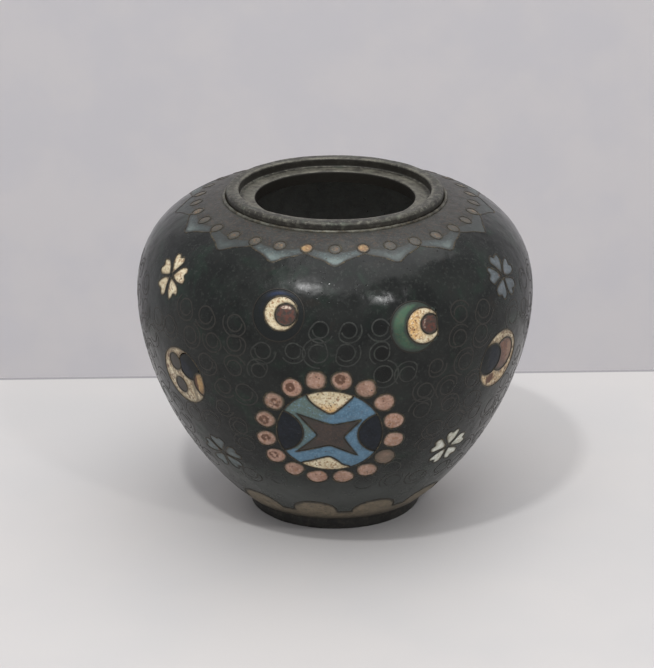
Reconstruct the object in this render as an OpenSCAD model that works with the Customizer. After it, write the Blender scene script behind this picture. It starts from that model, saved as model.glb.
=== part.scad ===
// Squat cloisonne vase: a spun copper body with a soldered mouth collar and foot ring,
// covered by cells of fired enamel that thin brass wires hold apart.
// Millimetres, +Z up, origin at the centre of the foot's resting plane, front towards -Y.

/* [Body] */
// Largest outside radius, at the belly
belly_r = 44.2; // [42:0.1:47]
// Height of the belly above the table
belly_z = 50; // [48:0.5:52]
// Height at which the wall meets the mouth collar
shoulder_z = 72.3; // [71.5:0.1:72.6]
// Thickness of the spun copper
copper_t = 0.9; // [0.7:0.1:1.1]

/* [Enamel] */
// Thickness of the outer enamel
enamel_t = 0.9; // [0.7:0.1:1.1]
// Thickness of the enamel inside the vase
lining_t = 0.4; // [0.3:0.1:0.5]
// Thickness of the enamel under the base
base_t = 0.6; // [0.4:0.1:1]
// Thickness of a cell's wire
wire_t = 0.3; // [0.2:0.05:0.4]
// How far the wires stand above the enamel
wire_proud = 0.05; // [0.02:0.01:0.1]

/* [Mouth collar] */
// Radius of the mouth opening
mouth_r = 17.7; // [16:0.1:18.5]
// Radius of the stepped seat for a lid
seat_r = 21.3; // [20:0.1:22]
// Outside radius of the collar
collar_r = 24.2; // [23.8:0.1:24.4]
// Height of the seat's ledge above the table
ledge_z = 72.2; // [72:0.1:72.5]
// Height of the lip above the ledge
lip_h = 2; // [1.6:0.1:3]
// Length of the skirt that hangs inside the mouth, below the ledge
skirt_h = 2.6; // [2:0.1:4]
// Thickness of the skirt
skirt_t = 1.2; // [0.8:0.1:1.4]

/* [Foot ring] */
// Outside radius of the foot ring
foot_r = 19.3; // [18.5:0.1:19.5]
// Inside radius of the foot ring
foot_bore_r = 17.3; // [16:0.1:17.5]
// Height of the foot ring
foot_h = 3.3; // [3:0.1:3.6]

/* [Borders] */
// Number of lobes round the shoulder
lobe_count = 16; // [12:1:18]
// Radius of one lobe, seen from above
lobe_r = 10; // [9.5:0.1:10.5]
// Distance of a lobe's centre from the axis
lobe_centre = 24.4; // [24:0.1:24.8]
// Thickness of the crescent of enamel in a lobe, at its tip
lobe_crescent = 1.7; // [1.2:0.1:2]
// Radius of a shoulder bead
shoulder_bead_r = 1.0; // [0.8:0.05:1.1]
// Distance of the shoulder beads from the axis
shoulder_bead_ring = 30.8; // [30.5:0.1:31.1]
// Number of lappets round the foot
lappet_count = 12; // [10:1:13]
// Radius of one lappet
lappet_r = 5.2; // [4.8:0.1:5.4]
// Height of a lappet's centre above the table
lappet_z = 6.6; // [6:0.1:7]

/* [Medallion] */
// Turn of the medallion from the front
medallion_turn = -1.7; // [-3:0.1:0]
// Height of the medallion's centre
medallion_z = 32.2; // [31:0.1:33]
// Radius of the disc of enamel
disc_r = 11.4; // [11:0.1:11.5]
// Radius of the ring of beads
bead_ring_r = 14.35; // [14.2:0.05:14.6]
// Number of beads
bead_count = 16; // [14:1:16]
// Radius of one bead
bead_r = 2.1; // [1.8:0.1:2.2]

/* [Crescent roundels] */
// Radius of the left crescent's outer circle
left_crescent_r = 3.6; // [3.3:0.1:3.8]
// Radius of the left roundel's halo
left_halo_r = 5.5; // [5.2:0.1:5.8]
// Radius of the right crescent's outer circle
right_crescent_r = 3.8; // [3.5:0.1:4]
// Radius of the right roundel's halo
right_halo_r = 5.4; // [5.2:0.1:5.6]
// Radius of the dark eye in a crescent
eye_r = 2.2; // [2:0.1:2.3]

/* [Blossoms and side roundels] */
// Distance from a blossom's centre to the tip of a petal
blossom_r = 4.8; // [4.4:0.1:5]
// Radius of a side roundel
roundel_r = 6.6; // [6.2:0.1:6.8]

/* [Scroll wires] */
// Radius of one scroll
scroll_r = 2; // [1.8:0.1:2.2]
// Distance between the rows of scrolls
scroll_pitch = 5.9; // [5.6:0.1:6.5]

/* [Hidden] */
$fn = 64;

// The wall's outline is one power curve below the belly and one above it.
lower_h = 56.8;
lower_bend = [1.75, 0.605];
upper_h = 23.43;
upper_bend = [2.27, 0.254];
lower_steps = 12;
upper_steps = 12;

// Rounding of the collar's and the foot ring's edges
collar_round = 1;
seat_round = 0.5;
foot_round = 0.4;

rim_z = ledge_z + lip_h;
floor_z = foot_h + copper_t;

// How far the flat of the base stops short of the wall
base_step = 0.6;

// Vertical prisms that cut the shoulder's pattern start this far below the collar
border_depth = 12;
border_reach = 20;

// Half of the width of the enamel crescent in a lobe
crescent_half = 4.6;

// Depth of a scroll in the ground, and how far round it goes
scroll_depth = 0.2;
scroll_sweep = 290;

// Heights, turns and depths of the motifs
left_crescent_place = [-15.6, 59.9];
right_crescent_place = [25.6, 56.5];
cream_blossom_place = [-58, 61.6];
grey_blossom_place = [60, 61.1];
blue_blossom_place = [-43.3, 21.7];
white_blossom_place = [42, 23.7];
left_roundel_place = [-50, 40.5];
right_roundel_place = [55, 43.4];
blossom_places = [cream_blossom_place, grey_blossom_place, blue_blossom_place, white_blossom_place];
medallion_place = [medallion_turn, medallion_z];
cell_depth = 3;
disc_depth = 5;

// Offsets from a motif's centre to its inner shapes, sideways and upwards
left_eye_shift = [1.1, -0.1];
left_halo_shift = [-0.6, -0.4];
right_eye_shift = [1.35, 0.4];
right_halo_shift = [-2.1, 0];
right_halo_edge = 3.1;

// Corners of the four-pointed star, and of the two caps that cut into the disc
star_points = [
    [-5.2, 5.2], [0.4, 2.9], [7.0, 4.2], [3.0, -0.9],
    [5.5, -6.3], [-0.2, -3.1], [-7.2, -5.6], [-3.3, -0.2],
];
top_cap = [[-5.6, 12], [0.5, 5.8], [5.9, 12]];
bottom_cap = [[-7.4, -12], [-6, -9.6], [-2.4, -7.7], [0.4, -7.7], [3.6, -9.8], [4.6, -12]];
side_lobes = [[-11.7, 0, 6.3], [11.9, -0.5, 5.6]];

// Half of a petal's outline, from the base to the notch at its tip, for a petal 1 long
petal_edge = [[0.2, 0.05], [0.46, 0.2], [0.75, 0.31], [0.94, 0.27], [1, 0.14]];
petal_notch = [0.91, 0];

// Scrolls keep this far from the middle of each motif
medallion_clear = 19.2;
roundel_clear = 9.4;
crescent_clear = 8.6;
blossom_clear = 7.4;

// The wall's outside radius at a height
function wall_r(z) =
    z < belly_z
    ? belly_r * pow(1 - pow((belly_z - z) / lower_h, lower_bend[0]), lower_bend[1])
    : belly_r * pow(1 - pow((z - belly_z) / upper_h, upper_bend[0]), upper_bend[1]);

// How far the wall's outward normal points up at a height, in degrees
function tilt(z) = atan((wall_r(z - 0.05) - wall_r(z + 0.05)) / 0.1);

// A point of the wall's outline, set in by a depth along the normal
function wall_point(z, depth) =
    [wall_r(z) - depth * cos(tilt(z)), z - depth * sin(tilt(z))];

// Heights of the outline's points, closer together towards the collar
function wall_height(k) =
    k < lower_steps
    ? foot_h + (belly_z - foot_h) * k / lower_steps
    : belly_z + (shoulder_z - belly_z) * sin(90 * (k - lower_steps) / upper_steps);

function wall_line(depth) = [
    for (k = [0 : lower_steps + upper_steps]) wall_point(wall_height(k), depth)
];

function reversed(list) = [for (k = [len(list) - 1 : -1 : 0]) list[k]];

function arc(centre, r, from, to, steps = 5) = [
    for (k = [0 : steps])
        let (a = from + (to - from) * k / steps)
            centre + r * [cos(a), sin(a)]
];

// Where a point lies on the wall when it is moved from a place, sideways and upwards
function moved(place, shift) =
    let (z = place[1] + shift[1] * cos(tilt(place[1] + shift[1] / 2)))
        [place[0] + shift[0] / wall_r(z) * 180 / PI, z];

// Distance over the wall between two places, turn and height each
function apart(a, b) =
    let (turn = (a[0] - b[0] + 540) % 360 - 180)
    let (z = (a[1] + b[1]) / 2)
        norm([turn * PI / 180 * wall_r(z), (a[1] - b[1]) / cos(tilt(z))]);

// A layer of the wall between two depths
module wall_layer(outer, inner) {
    rotate_extrude()
        polygon(concat(wall_line(outer), reversed(wall_line(inner))));
}

// The space inside the wall at a depth, above a floor
module wall_core(depth, bottom) {
    line = wall_line(depth);
    top = line[len(line) - 1][1];
    inside = [for (p = line) if (p[1] > bottom) p];
    rotate_extrude()
        polygon(concat([[0, bottom], [inside[0][0] - base_step, bottom]], inside, [[0, top]]));
}

module enamel_layer() {
    wall_layer(0, enamel_t);
}

module wire_layer() {
    wall_layer(-wire_proud, enamel_t);
}

// Puts flat shapes on the wall at a place, as prisms that go through the enamel
module on_wall(place, depth = cell_depth) {
    rotate([0, 0, place[0]])
        translate([0, -wall_r(place[1]), place[1]])
            rotate([90 - tilt(place[1]), 0, 0])
                translate([0, 0, -depth])
                    linear_extrude(depth + 1)
                        children();
}

// The motifs of the front are repeated on the back
module front_and_back() {
    for (turn = [0, 180])
        rotate([0, 0, turn])
            children();
}

module enamel_cells() {
    intersection() {
        enamel_layer();
        children();
    }
}

module wire_cells() {
    intersection() {
        wire_layer();
        children();
    }
}

module ring(r, t = wire_t) {
    difference() {
        circle(r + t);
        circle(r);
    }
}

// ---- Metal ----

module mouth_hole() {
    translate([0, 0, shoulder_z - border_depth])
        cylinder(r = mouth_r + skirt_t, h = border_reach);
}

module copper_body() {
    color("peru")
        difference() {
            wall_core(enamel_t, foot_h);
            wall_core(enamel_t + copper_t, floor_z);
            mouth_hole();
        }
}

module foot_ring() {
    color("#26241f")
        rotate_extrude()
            polygon(concat(
                arc([foot_r - foot_round, foot_round], foot_round, -90, 0),
                [[foot_r, foot_h], [foot_bore_r, foot_h]],
                arc([foot_bore_r + foot_round, foot_round], foot_round, 180, 270)
            ));
}

module mouth_collar() {
    flange_z = wall_point(shoulder_z, enamel_t)[1];
    color("#5d564c")
        rotate_extrude()
            polygon(concat(
                [[mouth_r, ledge_z - skirt_h], [mouth_r + skirt_t, ledge_z - skirt_h]],
                [[mouth_r + skirt_t, flange_z], [collar_r, flange_z]],
                arc([collar_r - collar_round, rim_z - collar_round], collar_round, 0, 90),
                arc([seat_r + seat_round, rim_z - seat_round], seat_round, 90, 180),
                [[seat_r, ledge_z], [mouth_r, ledge_z]]
            ));
}

module collar_wire() {
    inner = wall_point(shoulder_z, enamel_t);
    color("#8c8468")
        rotate_extrude()
            polygon([
                [collar_r, inner[1]], inner, wall_point(shoulder_z, 0),
                [wall_r(shoulder_z) - 0.1, shoulder_z + wire_t],
                [collar_r, shoulder_z + wire_t],
            ]);
}

module foot_wire() {
    inner = wall_point(foot_h, enamel_t);
    color("#4b4436")
        rotate_extrude()
            polygon([[inner[0] - base_step, foot_h], wall_point(foot_h, 0), inner]);
}

// ---- Plain enamel ----

module inner_enamel() {
    color("#2c2f2e")
        difference() {
            wall_core(enamel_t + copper_t, floor_z);
            wall_core(enamel_t + copper_t + lining_t, floor_z + lining_t);
            mouth_hole();
        }
}

module base_enamel() {
    color("#2a3534")
        translate([0, 0, foot_h - base_t])
            cylinder(r = foot_bore_r, h = base_t);
}

// Everything that is let into the ground, wires included
module pockets() {
    from_above() lobes(lobe_r + wire_t);
    foot_prism(wire_t);
    front_and_back() {
        bead_prisms(bead_r + wire_t);
        on_wall(medallion_place, disc_depth) circle(disc_r + wire_t);
        on_wall(left_crescent_place) left_halo_shape(wire_t);
        on_wall(right_crescent_place) right_halo_shape(wire_t);
        on_wall(left_roundel_place) circle(roundel_r + wire_t);
        on_wall(right_roundel_place) circle(roundel_r + wire_t);
        for (place = blossom_places)
            on_wall(place) petals(wire_t);
    }
}

module ground_enamel() {
    color("#343a38")
        difference() {
            enamel_layer();
            pockets();
        }
}

// ---- Borders ----

module lobes(r) {
    circle(lobe_centre);
    for (k = [0 : lobe_count - 1])
        rotate(360 / lobe_count * k - 90)
            translate([lobe_centre, 0])
                circle(r);
}

// A thin crescent inside each lobe's edge
module lobe_crescents() {
    for (k = [0 : lobe_count - 1])
        rotate(360 / lobe_count * k - 90)
            intersection() {
                translate([lobe_centre, 0])
                    difference() {
                        circle(lobe_r - wire_t);
                        translate([-lobe_crescent, 0])
                            circle(lobe_r - wire_t);
                    }
                translate([lobe_centre, -crescent_half])
                    square([border_reach, 2 * crescent_half]);
            }
}

module shoulder_bead_shapes(r) {
    for (k = [0 : 2 * lobe_count - 1])
        rotate(180 / lobe_count * k)
            translate([shoulder_bead_ring, 0])
                circle(r);
}

module from_above() {
    translate([0, 0, shoulder_z - border_depth])
        linear_extrude(border_reach)
            children();
}

module shoulder_enamel() {
    color("#554e46")
        enamel_cells()
            from_above()
                difference() {
                    lobes(lobe_r);
                    lobe_crescents();
                    shoulder_bead_shapes(shoulder_bead_r + wire_t);
                }
}

module shoulder_wire() {
    color("#6d6350")
        wire_cells()
            from_above()
                difference() {
                    lobes(lobe_r + wire_t);
                    lobes(lobe_r);
                }
}

module shoulder_lobes() {
    color("#5f7378")
        enamel_cells()
            from_above()
                difference() {
                    lobe_crescents();
                    shoulder_bead_shapes(shoulder_bead_r + wire_t);
                }
}

module shoulder_beads() {
    color("#b28a4a")
        enamel_cells()
            from_above()
                shoulder_bead_shapes(shoulder_bead_r);
}

module shoulder_bead_wires() {
    color("#5a4a36")
        wire_cells()
            from_above()
                difference() {
                    shoulder_bead_shapes(shoulder_bead_r + wire_t);
                    shoulder_bead_shapes(shoulder_bead_r);
                }
}

module foot_prism(grow) {
    cylinder(r = belly_r, h = lappet_z + grow);
    for (k = [0 : lappet_count - 1])
        on_wall([360 / lappet_count * k - 10, lappet_z])
            circle(lappet_r + grow);
}

module foot_border_enamel() {
    color("#5a544c")
        enamel_cells()
            foot_prism(0);
}

module foot_border_wire() {
    color("#6d6350")
        wire_cells()
            difference() {
                foot_prism(wire_t);
                foot_prism(0);
            }
}

// ---- Medallion ----

module bead_prisms(r) {
    for (k = [0 : bead_count - 1]) {
        a = 360 / bead_count * (k + 0.5);
        on_wall(moved(medallion_place, bead_ring_r * [sin(a), cos(a)]))
            circle(r);
    }
}

module medallion_beads() {
    color("#af8778")
        enamel_cells()
            front_and_back()
                bead_prisms(bead_r);
}

module medallion_bead_wires() {
    color("#5b5138")
        wire_cells()
            front_and_back()
                difference() {
                    bead_prisms(bead_r + wire_t);
                    bead_prisms(bead_r);
                }
}

module in_medallion() {
    front_and_back()
        on_wall(medallion_place, disc_depth)
            children();
}

module star(grow) {
    offset(delta = grow)
        polygon(star_points);
}

module caps(grow) {
    offset(delta = grow) {
        polygon(top_cap);
        polygon(bottom_cap);
    }
}

module side_lobe_shapes(grow) {
    for (lobe = side_lobes)
        translate([lobe[0], lobe[1]])
            circle(lobe[2] + grow);
}

module medallion_ring_wire() {
    color("#6d6033")
        wire_cells()
            in_medallion()
                ring(disc_r);
}

module medallion_blue_field() {
    color("#4b7daa")
        enamel_cells()
            in_medallion()
                difference() {
                    circle(disc_r);
                    star(wire_t);
                    caps(wire_t);
                    side_lobe_shapes(wire_t);
                }
}

module medallion_star() {
    color("#4b3734")
        enamel_cells()
            in_medallion()
                star(0);
}

module medallion_star_wire() {
    color("#6d6033")
        wire_cells()
            in_medallion()
                difference() {
                    star(wire_t);
                    star(0);
                }
}

module medallion_caps() {
    color("#e1c896")
        enamel_cells()
            in_medallion()
                intersection() {
                    circle(disc_r);
                    caps(0);
                }
}

module medallion_side_lobes() {
    color("#262d3a")
        enamel_cells()
            in_medallion()
                intersection() {
                    circle(disc_r);
                    side_lobe_shapes(0);
                }
}

module medallion_cell_wires() {
    color("#6d6033")
        wire_cells()
            in_medallion()
                intersection() {
                    circle(disc_r);
                    union() {
                        difference() {
                            caps(wire_t);
                            caps(0);
                        }
                        difference() {
                            side_lobe_shapes(wire_t);
                            side_lobe_shapes(0);
                        }
                    }
                }
}

// ---- Crescent roundels ----

module left_halo_shape(grow) {
    translate(left_halo_shift)
        circle(left_halo_r + grow);
}

module left_eye_shape(grow) {
    translate(left_eye_shift)
        circle(eye_r + grow);
}

module left_crescent() {
    color("#dccda5")
        enamel_cells()
            front_and_back()
                on_wall(left_crescent_place)
                    difference() {
                        circle(left_crescent_r);
                        left_eye_shape(wire_t);
                    }
}

module left_crescent_eye() {
    color("#462d28")
        enamel_cells()
            front_and_back()
                on_wall(left_crescent_place)
                    left_eye_shape(0);
}

module left_crescent_halo() {
    color("#2a3440")
        enamel_cells()
            front_and_back()
                on_wall(left_crescent_place)
                    difference() {
                        left_halo_shape(0);
                        circle(left_crescent_r + wire_t);
                    }
}

module left_crescent_wires() {
    color("#6d6350")
        wire_cells()
            front_and_back()
                on_wall(left_crescent_place) {
                    ring(left_crescent_r);
                    translate(left_eye_shift) ring(eye_r);
                    translate(left_halo_shift) ring(left_halo_r);
                }
}

// The right halo is a disc that a straight wire cuts short
module right_halo_shape(grow) {
    intersection() {
        union() {
            translate(right_halo_shift)
                circle(right_halo_r + grow);
            circle(right_crescent_r + wire_t + grow);
        }
        translate([-20, -20])
            square([20 + right_halo_edge + grow, 40]);
    }
}

module right_crescent_shape(grow) {
    intersection() {
        circle(right_crescent_r + grow);
        right_halo_shape(0);
    }
}

module right_eye_shape(grow) {
    intersection() {
        translate(right_eye_shift)
            circle(eye_r + grow);
        right_halo_shape(0);
    }
}

module right_crescent() {
    color("#dccda5")
        enamel_cells()
            front_and_back()
                on_wall(right_crescent_place)
                    difference() {
                        right_crescent_shape(0);
                        right_eye_shape(wire_t);
                    }
}

module right_crescent_eye() {
    color("#462d28")
        enamel_cells()
            front_and_back()
                on_wall(right_crescent_place)
                    right_eye_shape(0);
}

module right_crescent_halo() {
    color("#37644b")
        enamel_cells()
            front_and_back()
                on_wall(right_crescent_place)
                    difference() {
                        right_halo_shape(0);
                        right_crescent_shape(wire_t);
                    }
}

module right_crescent_wires() {
    color("#6d6350")
        wire_cells()
            front_and_back()
                on_wall(right_crescent_place) {
                    difference() {
                        right_halo_shape(wire_t);
                        right_halo_shape(0);
                    }
                    difference() {
                        right_crescent_shape(wire_t);
                        right_crescent_shape(0);
                    }
                    difference() {
                        right_eye_shape(wire_t);
                        right_eye_shape(0);
                    }
                }
}

// ---- Blossoms ----

module petals(grow) {
    half = blossom_r * petal_edge;
    mirrored = [for (p = reversed(half)) [p[0], -p[1]]];
    for (k = [0 : 4])
        rotate(90 + 72 * k)
            offset(delta = grow)
                polygon(concat(half, [blossom_r * petal_notch], mirrored));
}

module blossom(place, grow = 0) {
    front_and_back()
        on_wall(place)
            petals(grow);
}

module cream_blossoms() {
    color("#dcd2a8")
        enamel_cells()
            blossom(cream_blossom_place);
}

module grey_blossoms() {
    color("#8c9fa8")
        enamel_cells()
            blossom(grey_blossom_place);
}

module blue_blossoms() {
    color("#7f9ca6")
        enamel_cells()
            blossom(blue_blossom_place);
}

module white_blossoms() {
    color("#dedcd4")
        enamel_cells()
            blossom(white_blossom_place);
}

module blossom_wires() {
    color("#6d6350")
        wire_cells()
            for (place = blossom_places)
                difference() {
                    blossom(place, wire_t);
                    blossom(place, 0);
                }
}

// ---- Side roundels ----

// Places and radii of the shapes inside the left roundel
left_eyes = [[-2.1, 2.9, 1.8], [-1.4, -2.7, 1.7]];
left_navy = [2.7, 3, 3];
left_gold = [6.6, -0.6, 2.9];

// Places and radii of the shapes inside the right roundel
right_rust = [2.6, 1.7, 2.2];
right_navy = [-3.6, 1.4, 2.8];

module spots(list, grow) {
    for (spot = list)
        translate([spot[0], spot[1]])
            circle(spot[2] + grow);
}

module in_roundel(place) {
    front_and_back()
        on_wall(place)
            intersection() {
                circle(roundel_r);
                children();
            }
}

module left_roundel_cream() {
    color("#dcc8a0")
        enamel_cells()
            in_roundel(left_roundel_place)
                difference() {
                    circle(roundel_r);
                    spots(left_eyes, wire_t);
                    spots([left_navy], wire_t);
                    spots([left_gold], wire_t);
                }
}

module left_roundel_eyes() {
    color("#5a4a3a")
        enamel_cells()
            in_roundel(left_roundel_place)
                spots(left_eyes, 0);
}

module left_roundel_navy() {
    color("#2a3440")
        enamel_cells()
            in_roundel(left_roundel_place)
                difference() {
                    spots([left_navy], 0);
                    spots(left_eyes, wire_t);
                    spots([left_gold], wire_t);
                }
}

module left_roundel_gold() {
    color("#c89a4a")
        enamel_cells()
            in_roundel(left_roundel_place)
                spots([left_gold], 0);
}

module left_roundel_wires() {
    color("#6d6350")
        wire_cells() {
            front_and_back()
                on_wall(left_roundel_place)
                    ring(roundel_r);
            in_roundel(left_roundel_place)
                difference() {
                    union() {
                        spots(left_eyes, wire_t);
                        spots([left_navy], wire_t);
                        spots([left_gold], wire_t);
                    }
                    spots(left_eyes, 0);
                    spots([left_gold], 0);
                    difference() {
                        spots([left_navy], 0);
                        spots(left_eyes, wire_t);
                        spots([left_gold], wire_t);
                    }
                }
        }
}

module right_roundel_cream() {
    color("#dcc0a8")
        enamel_cells()
            in_roundel(right_roundel_place)
                difference() {
                    circle(roundel_r);
                    spots([right_rust], wire_t);
                    spots([right_navy], wire_t);
                }
}

module right_roundel_rust() {
    color("#8a4f3c")
        enamel_cells()
            in_roundel(right_roundel_place)
                spots([right_rust], 0);
}

module right_roundel_navy() {
    color("#2a3440")
        enamel_cells()
            in_roundel(right_roundel_place)
                spots([right_navy], 0);
}

module right_roundel_wires() {
    color("#6d6350")
        wire_cells() {
            front_and_back()
                on_wall(right_roundel_place)
                    ring(roundel_r);
            in_roundel(right_roundel_place)
                for (spot = [right_rust, right_navy])
                    difference() {
                        spots([spot], wire_t);
                        spots([spot], 0);
                    }
        }
}

// ---- Scroll wires ----

function scroll_is_clear(place) =
    apart(place, medallion_place) > medallion_clear
    && apart(place, left_roundel_place) > roundel_clear
    && apart(place, right_roundel_place) > roundel_clear
    && apart(place, left_crescent_place) > crescent_clear
    && apart(place, right_crescent_place) > crescent_clear
    && min([for (b = blossom_places) apart(place, b)]) > blossom_clear;

// Height of a row of scrolls, counted along the slope of the wall
function row_z(row) =
    row == 0 ? 17 : row_z(row - 1) + scroll_pitch * cos(tilt(row_z(row - 1) + 2));

row_count = 9;

module scroll() {
    translate([0, 0, -scroll_depth])
        rotate_extrude(angle = scroll_sweep)
            translate([scroll_r - wire_t, 0])
                square([wire_t, scroll_depth + wire_proud]);
}

module scroll_row(row) {
    z = row_z(row);
    count = floor(PI * wall_r(z) / scroll_pitch);
    for (k = [0 : count - 1]) {
        turn = 180 / count * (k + (row % 2) / 2) - 90;
        if (scroll_is_clear([turn, z]))
            rotate([0, 0, turn])
                translate([0, -wall_r(z), z])
                    rotate([90 - tilt(z), 0, 0])
                        rotate([0, 0, 180 * ((k + row) % 2)])
                            scroll();
    }
}

module scroll_wires() {
    color("#4d4a3c")
        front_and_back()
            for (row = [0 : row_count - 1])
                scroll_row(row);
}

copper_body();
foot_ring();
mouth_collar();
collar_wire();
foot_wire();
inner_enamel();
base_enamel();
ground_enamel();
scroll_wires();
shoulder_enamel();
shoulder_wire();
shoulder_lobes();
shoulder_beads();
shoulder_bead_wires();
foot_border_enamel();
foot_border_wire();
medallion_beads();
medallion_bead_wires();
medallion_ring_wire();
medallion_blue_field();
medallion_star();
medallion_star_wire();
medallion_caps();
medallion_side_lobes();
medallion_cell_wires();
left_crescent();
left_crescent_eye();
left_crescent_halo();
left_crescent_wires();
right_crescent();
right_crescent_eye();
right_crescent_halo();
right_crescent_wires();
cream_blossoms();
grey_blossoms();
blue_blossoms();
white_blossoms();
blossom_wires();
left_roundel_cream();
left_roundel_eyes();
left_roundel_navy();
left_roundel_gold();
left_roundel_wires();
right_roundel_cream();
right_roundel_rust();
right_roundel_navy();
right_roundel_wires();
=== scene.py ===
import math
import random

import bmesh
import bpy
import numpy as np
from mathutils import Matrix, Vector, kdtree, noise
from mathutils.geometry import delaunay_2d_cdt


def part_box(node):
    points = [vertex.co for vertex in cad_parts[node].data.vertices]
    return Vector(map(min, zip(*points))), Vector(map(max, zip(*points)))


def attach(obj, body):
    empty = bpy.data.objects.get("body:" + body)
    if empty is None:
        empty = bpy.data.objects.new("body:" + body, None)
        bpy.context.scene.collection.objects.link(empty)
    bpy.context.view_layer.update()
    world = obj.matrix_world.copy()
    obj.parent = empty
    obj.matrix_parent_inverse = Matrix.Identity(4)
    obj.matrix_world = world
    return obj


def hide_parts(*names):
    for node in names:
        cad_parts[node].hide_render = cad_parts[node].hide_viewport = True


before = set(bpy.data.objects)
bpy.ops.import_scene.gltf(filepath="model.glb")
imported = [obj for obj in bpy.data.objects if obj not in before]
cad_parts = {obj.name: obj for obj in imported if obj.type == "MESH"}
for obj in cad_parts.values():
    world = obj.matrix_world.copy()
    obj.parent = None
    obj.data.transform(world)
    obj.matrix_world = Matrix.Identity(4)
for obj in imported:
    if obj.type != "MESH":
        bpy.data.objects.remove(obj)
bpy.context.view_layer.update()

# Lengths below are in millimetres, turns are in degrees round the vase from its front (-Y) towards +X
MM = 0.001
random.seed(7)


def top_of(node):
    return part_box(node)[1].z / MM


def radius_of(node):
    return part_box(node)[1].x / MM


# ---- The wall, as the CAD part has it ----

BELLY_R = radius_of("ground_enamel")
BELLY_Z = 50.0
WALL_LOW_Z = top_of("foot_ring")
WALL_TOP_Z = 72.3
LOWER_H = 56.8
LOWER_BEND = (1.75, 0.605)
UPPER_H = 23.43
UPPER_BEND = (2.27, 0.254)
ENAMEL_T = 0.9
WIRE_T = 0.3
WIRE_PROUD = 0.06
HALF_WIRE = WIRE_T / 2
WALL_STEPS = 900
HALF_TURN = 90.0
BACKS = (0, 180)


def wall_r(z):
    """The wall's outside radius at each height in an array."""
    lower = np.clip((BELLY_Z - z) / LOWER_H, 0, 1)
    upper = np.clip((z - BELLY_Z) / UPPER_H, 0, 1)
    return np.where(
        z < BELLY_Z,
        BELLY_R * (1 - lower ** LOWER_BEND[0]) ** LOWER_BEND[1],
        BELLY_R * (1 - upper ** UPPER_BEND[0]) ** UPPER_BEND[1],
    )


def wall_table():
    """Height, radius, slope length and outward normal up the wall's outline, closer together at the top."""
    t = np.linspace(0, 1, WALL_STEPS)
    z = WALL_LOW_Z + (WALL_TOP_Z - WALL_LOW_Z) * np.sin(t * math.pi / 2)
    r = wall_r(z)
    s = np.concatenate([[0], np.cumsum(np.hypot(np.diff(r), np.diff(z)))])
    dr, dz = np.gradient(r, s), np.gradient(z, s)
    size = np.hypot(dr, dz)
    return {"z": z, "r": r, "s": s, "nr": dz / size, "nz": -dr / size}


WALL = wall_table()


def at_slope(key, s):
    return np.interp(s, WALL["s"], WALL[key])


def slope_at(z):
    """Distance up the slope of the wall to a height."""
    return float(np.interp(z, WALL["z"], WALL["s"]))


def slope_at_radius(r):
    """Distance up the slope to where the shoulder has a radius."""
    upper = WALL["z"] > BELLY_Z
    return np.interp(-r, -WALL["r"][upper], WALL["s"][upper])


def wall_point(turn, s, rise):
    """Points on the wall, raised along its normal."""
    r = at_slope("r", s) + rise * at_slope("nr", s)
    z = at_slope("z", s) + rise * at_slope("nz", s)
    angle = np.radians(turn)
    return np.stack([r * np.sin(angle), -r * np.cos(angle), z], -1)


# Millimetres round the belly for one degree: the scale of the unrolled wall
PER_DEGREE = math.radians(BELLY_R)
SEAM_X = HALF_TURN * PER_DEGREE - 1e-3


def motif(place, back):
    """Maps a motif's own plane, sideways and upwards from its middle, to the wall."""
    s0 = slope_at(place[1])

    def to_wall(xy, rise):
        s = s0 + xy[:, 1]
        turn = place[0] + back + np.degrees(xy[:, 0] / at_slope("r", s))
        return wall_point(turn, s, rise)

    return to_wall


def front_and_back(place):
    """The maps of a motif on the front and of its copy on the back."""
    return [motif(place, back) for back in BACKS]


def unrolled(back=0):
    """Maps the unrolled wall to the wall."""

    def to_wall(xy, rise):
        return wall_point(xy[:, 0] / PER_DEGREE + back, xy[:, 1], rise)

    return to_wall


def motif_on_unrolled(place, loop):
    """A loop in a motif's plane, as a loop on the unrolled wall."""
    s = slope_at(place[1]) + loop[:, 1]
    turn = place[0] + np.degrees(loop[:, 0] / at_slope("r", s))
    return np.stack([turn * PER_DEGREE, s], -1)


# ---- Flat outlines ----


def circle(r, centre=(0, 0), step=0.35):
    count = max(16, int(2 * math.pi * r / step))
    angle = np.linspace(0, 2 * math.pi, count, endpoint=False)
    return np.stack([centre[0] + r * np.cos(angle), centre[1] + r * np.sin(angle)], -1)


def resample(loop, step, closed=True):
    """Points spaced evenly along a line."""
    loop = np.asarray(loop, float)
    if closed:
        loop = np.vstack([loop, loop[:1]])
    length = np.concatenate([[0], np.cumsum(np.hypot(*np.diff(loop, axis=0).T))])
    count = max(6, int(round(length[-1] / step)))
    at = np.linspace(0, length[-1], count + 1)
    if closed:
        at = at[:-1]
    return np.stack([np.interp(at, length, loop[:, 0]), np.interp(at, length, loop[:, 1])], -1)


def spline(corners, steps=8, closed=True):
    """A smooth line through the corners."""
    p = np.asarray(corners, float)
    n = len(p)
    out = []
    for i in range(n if closed else n - 1):
        if closed:
            a, b, c, d = p[i - 1], p[i], p[(i + 1) % n], p[(i + 2) % n]
        else:
            a, b, c, d = p[max(i - 1, 0)], p[i], p[i + 1], p[min(i + 2, n - 1)]
        for t in np.arange(steps) / steps:
            square, cube = 2 * a - 5 * b + 4 * c - d, 3 * b - a - 3 * c + d
            out.append(0.5 * (2 * b + (c - a) * t + square * t**2 + cube * t**3))
    if not closed:
        out.append(p[-1])
    return np.array(out)


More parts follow.
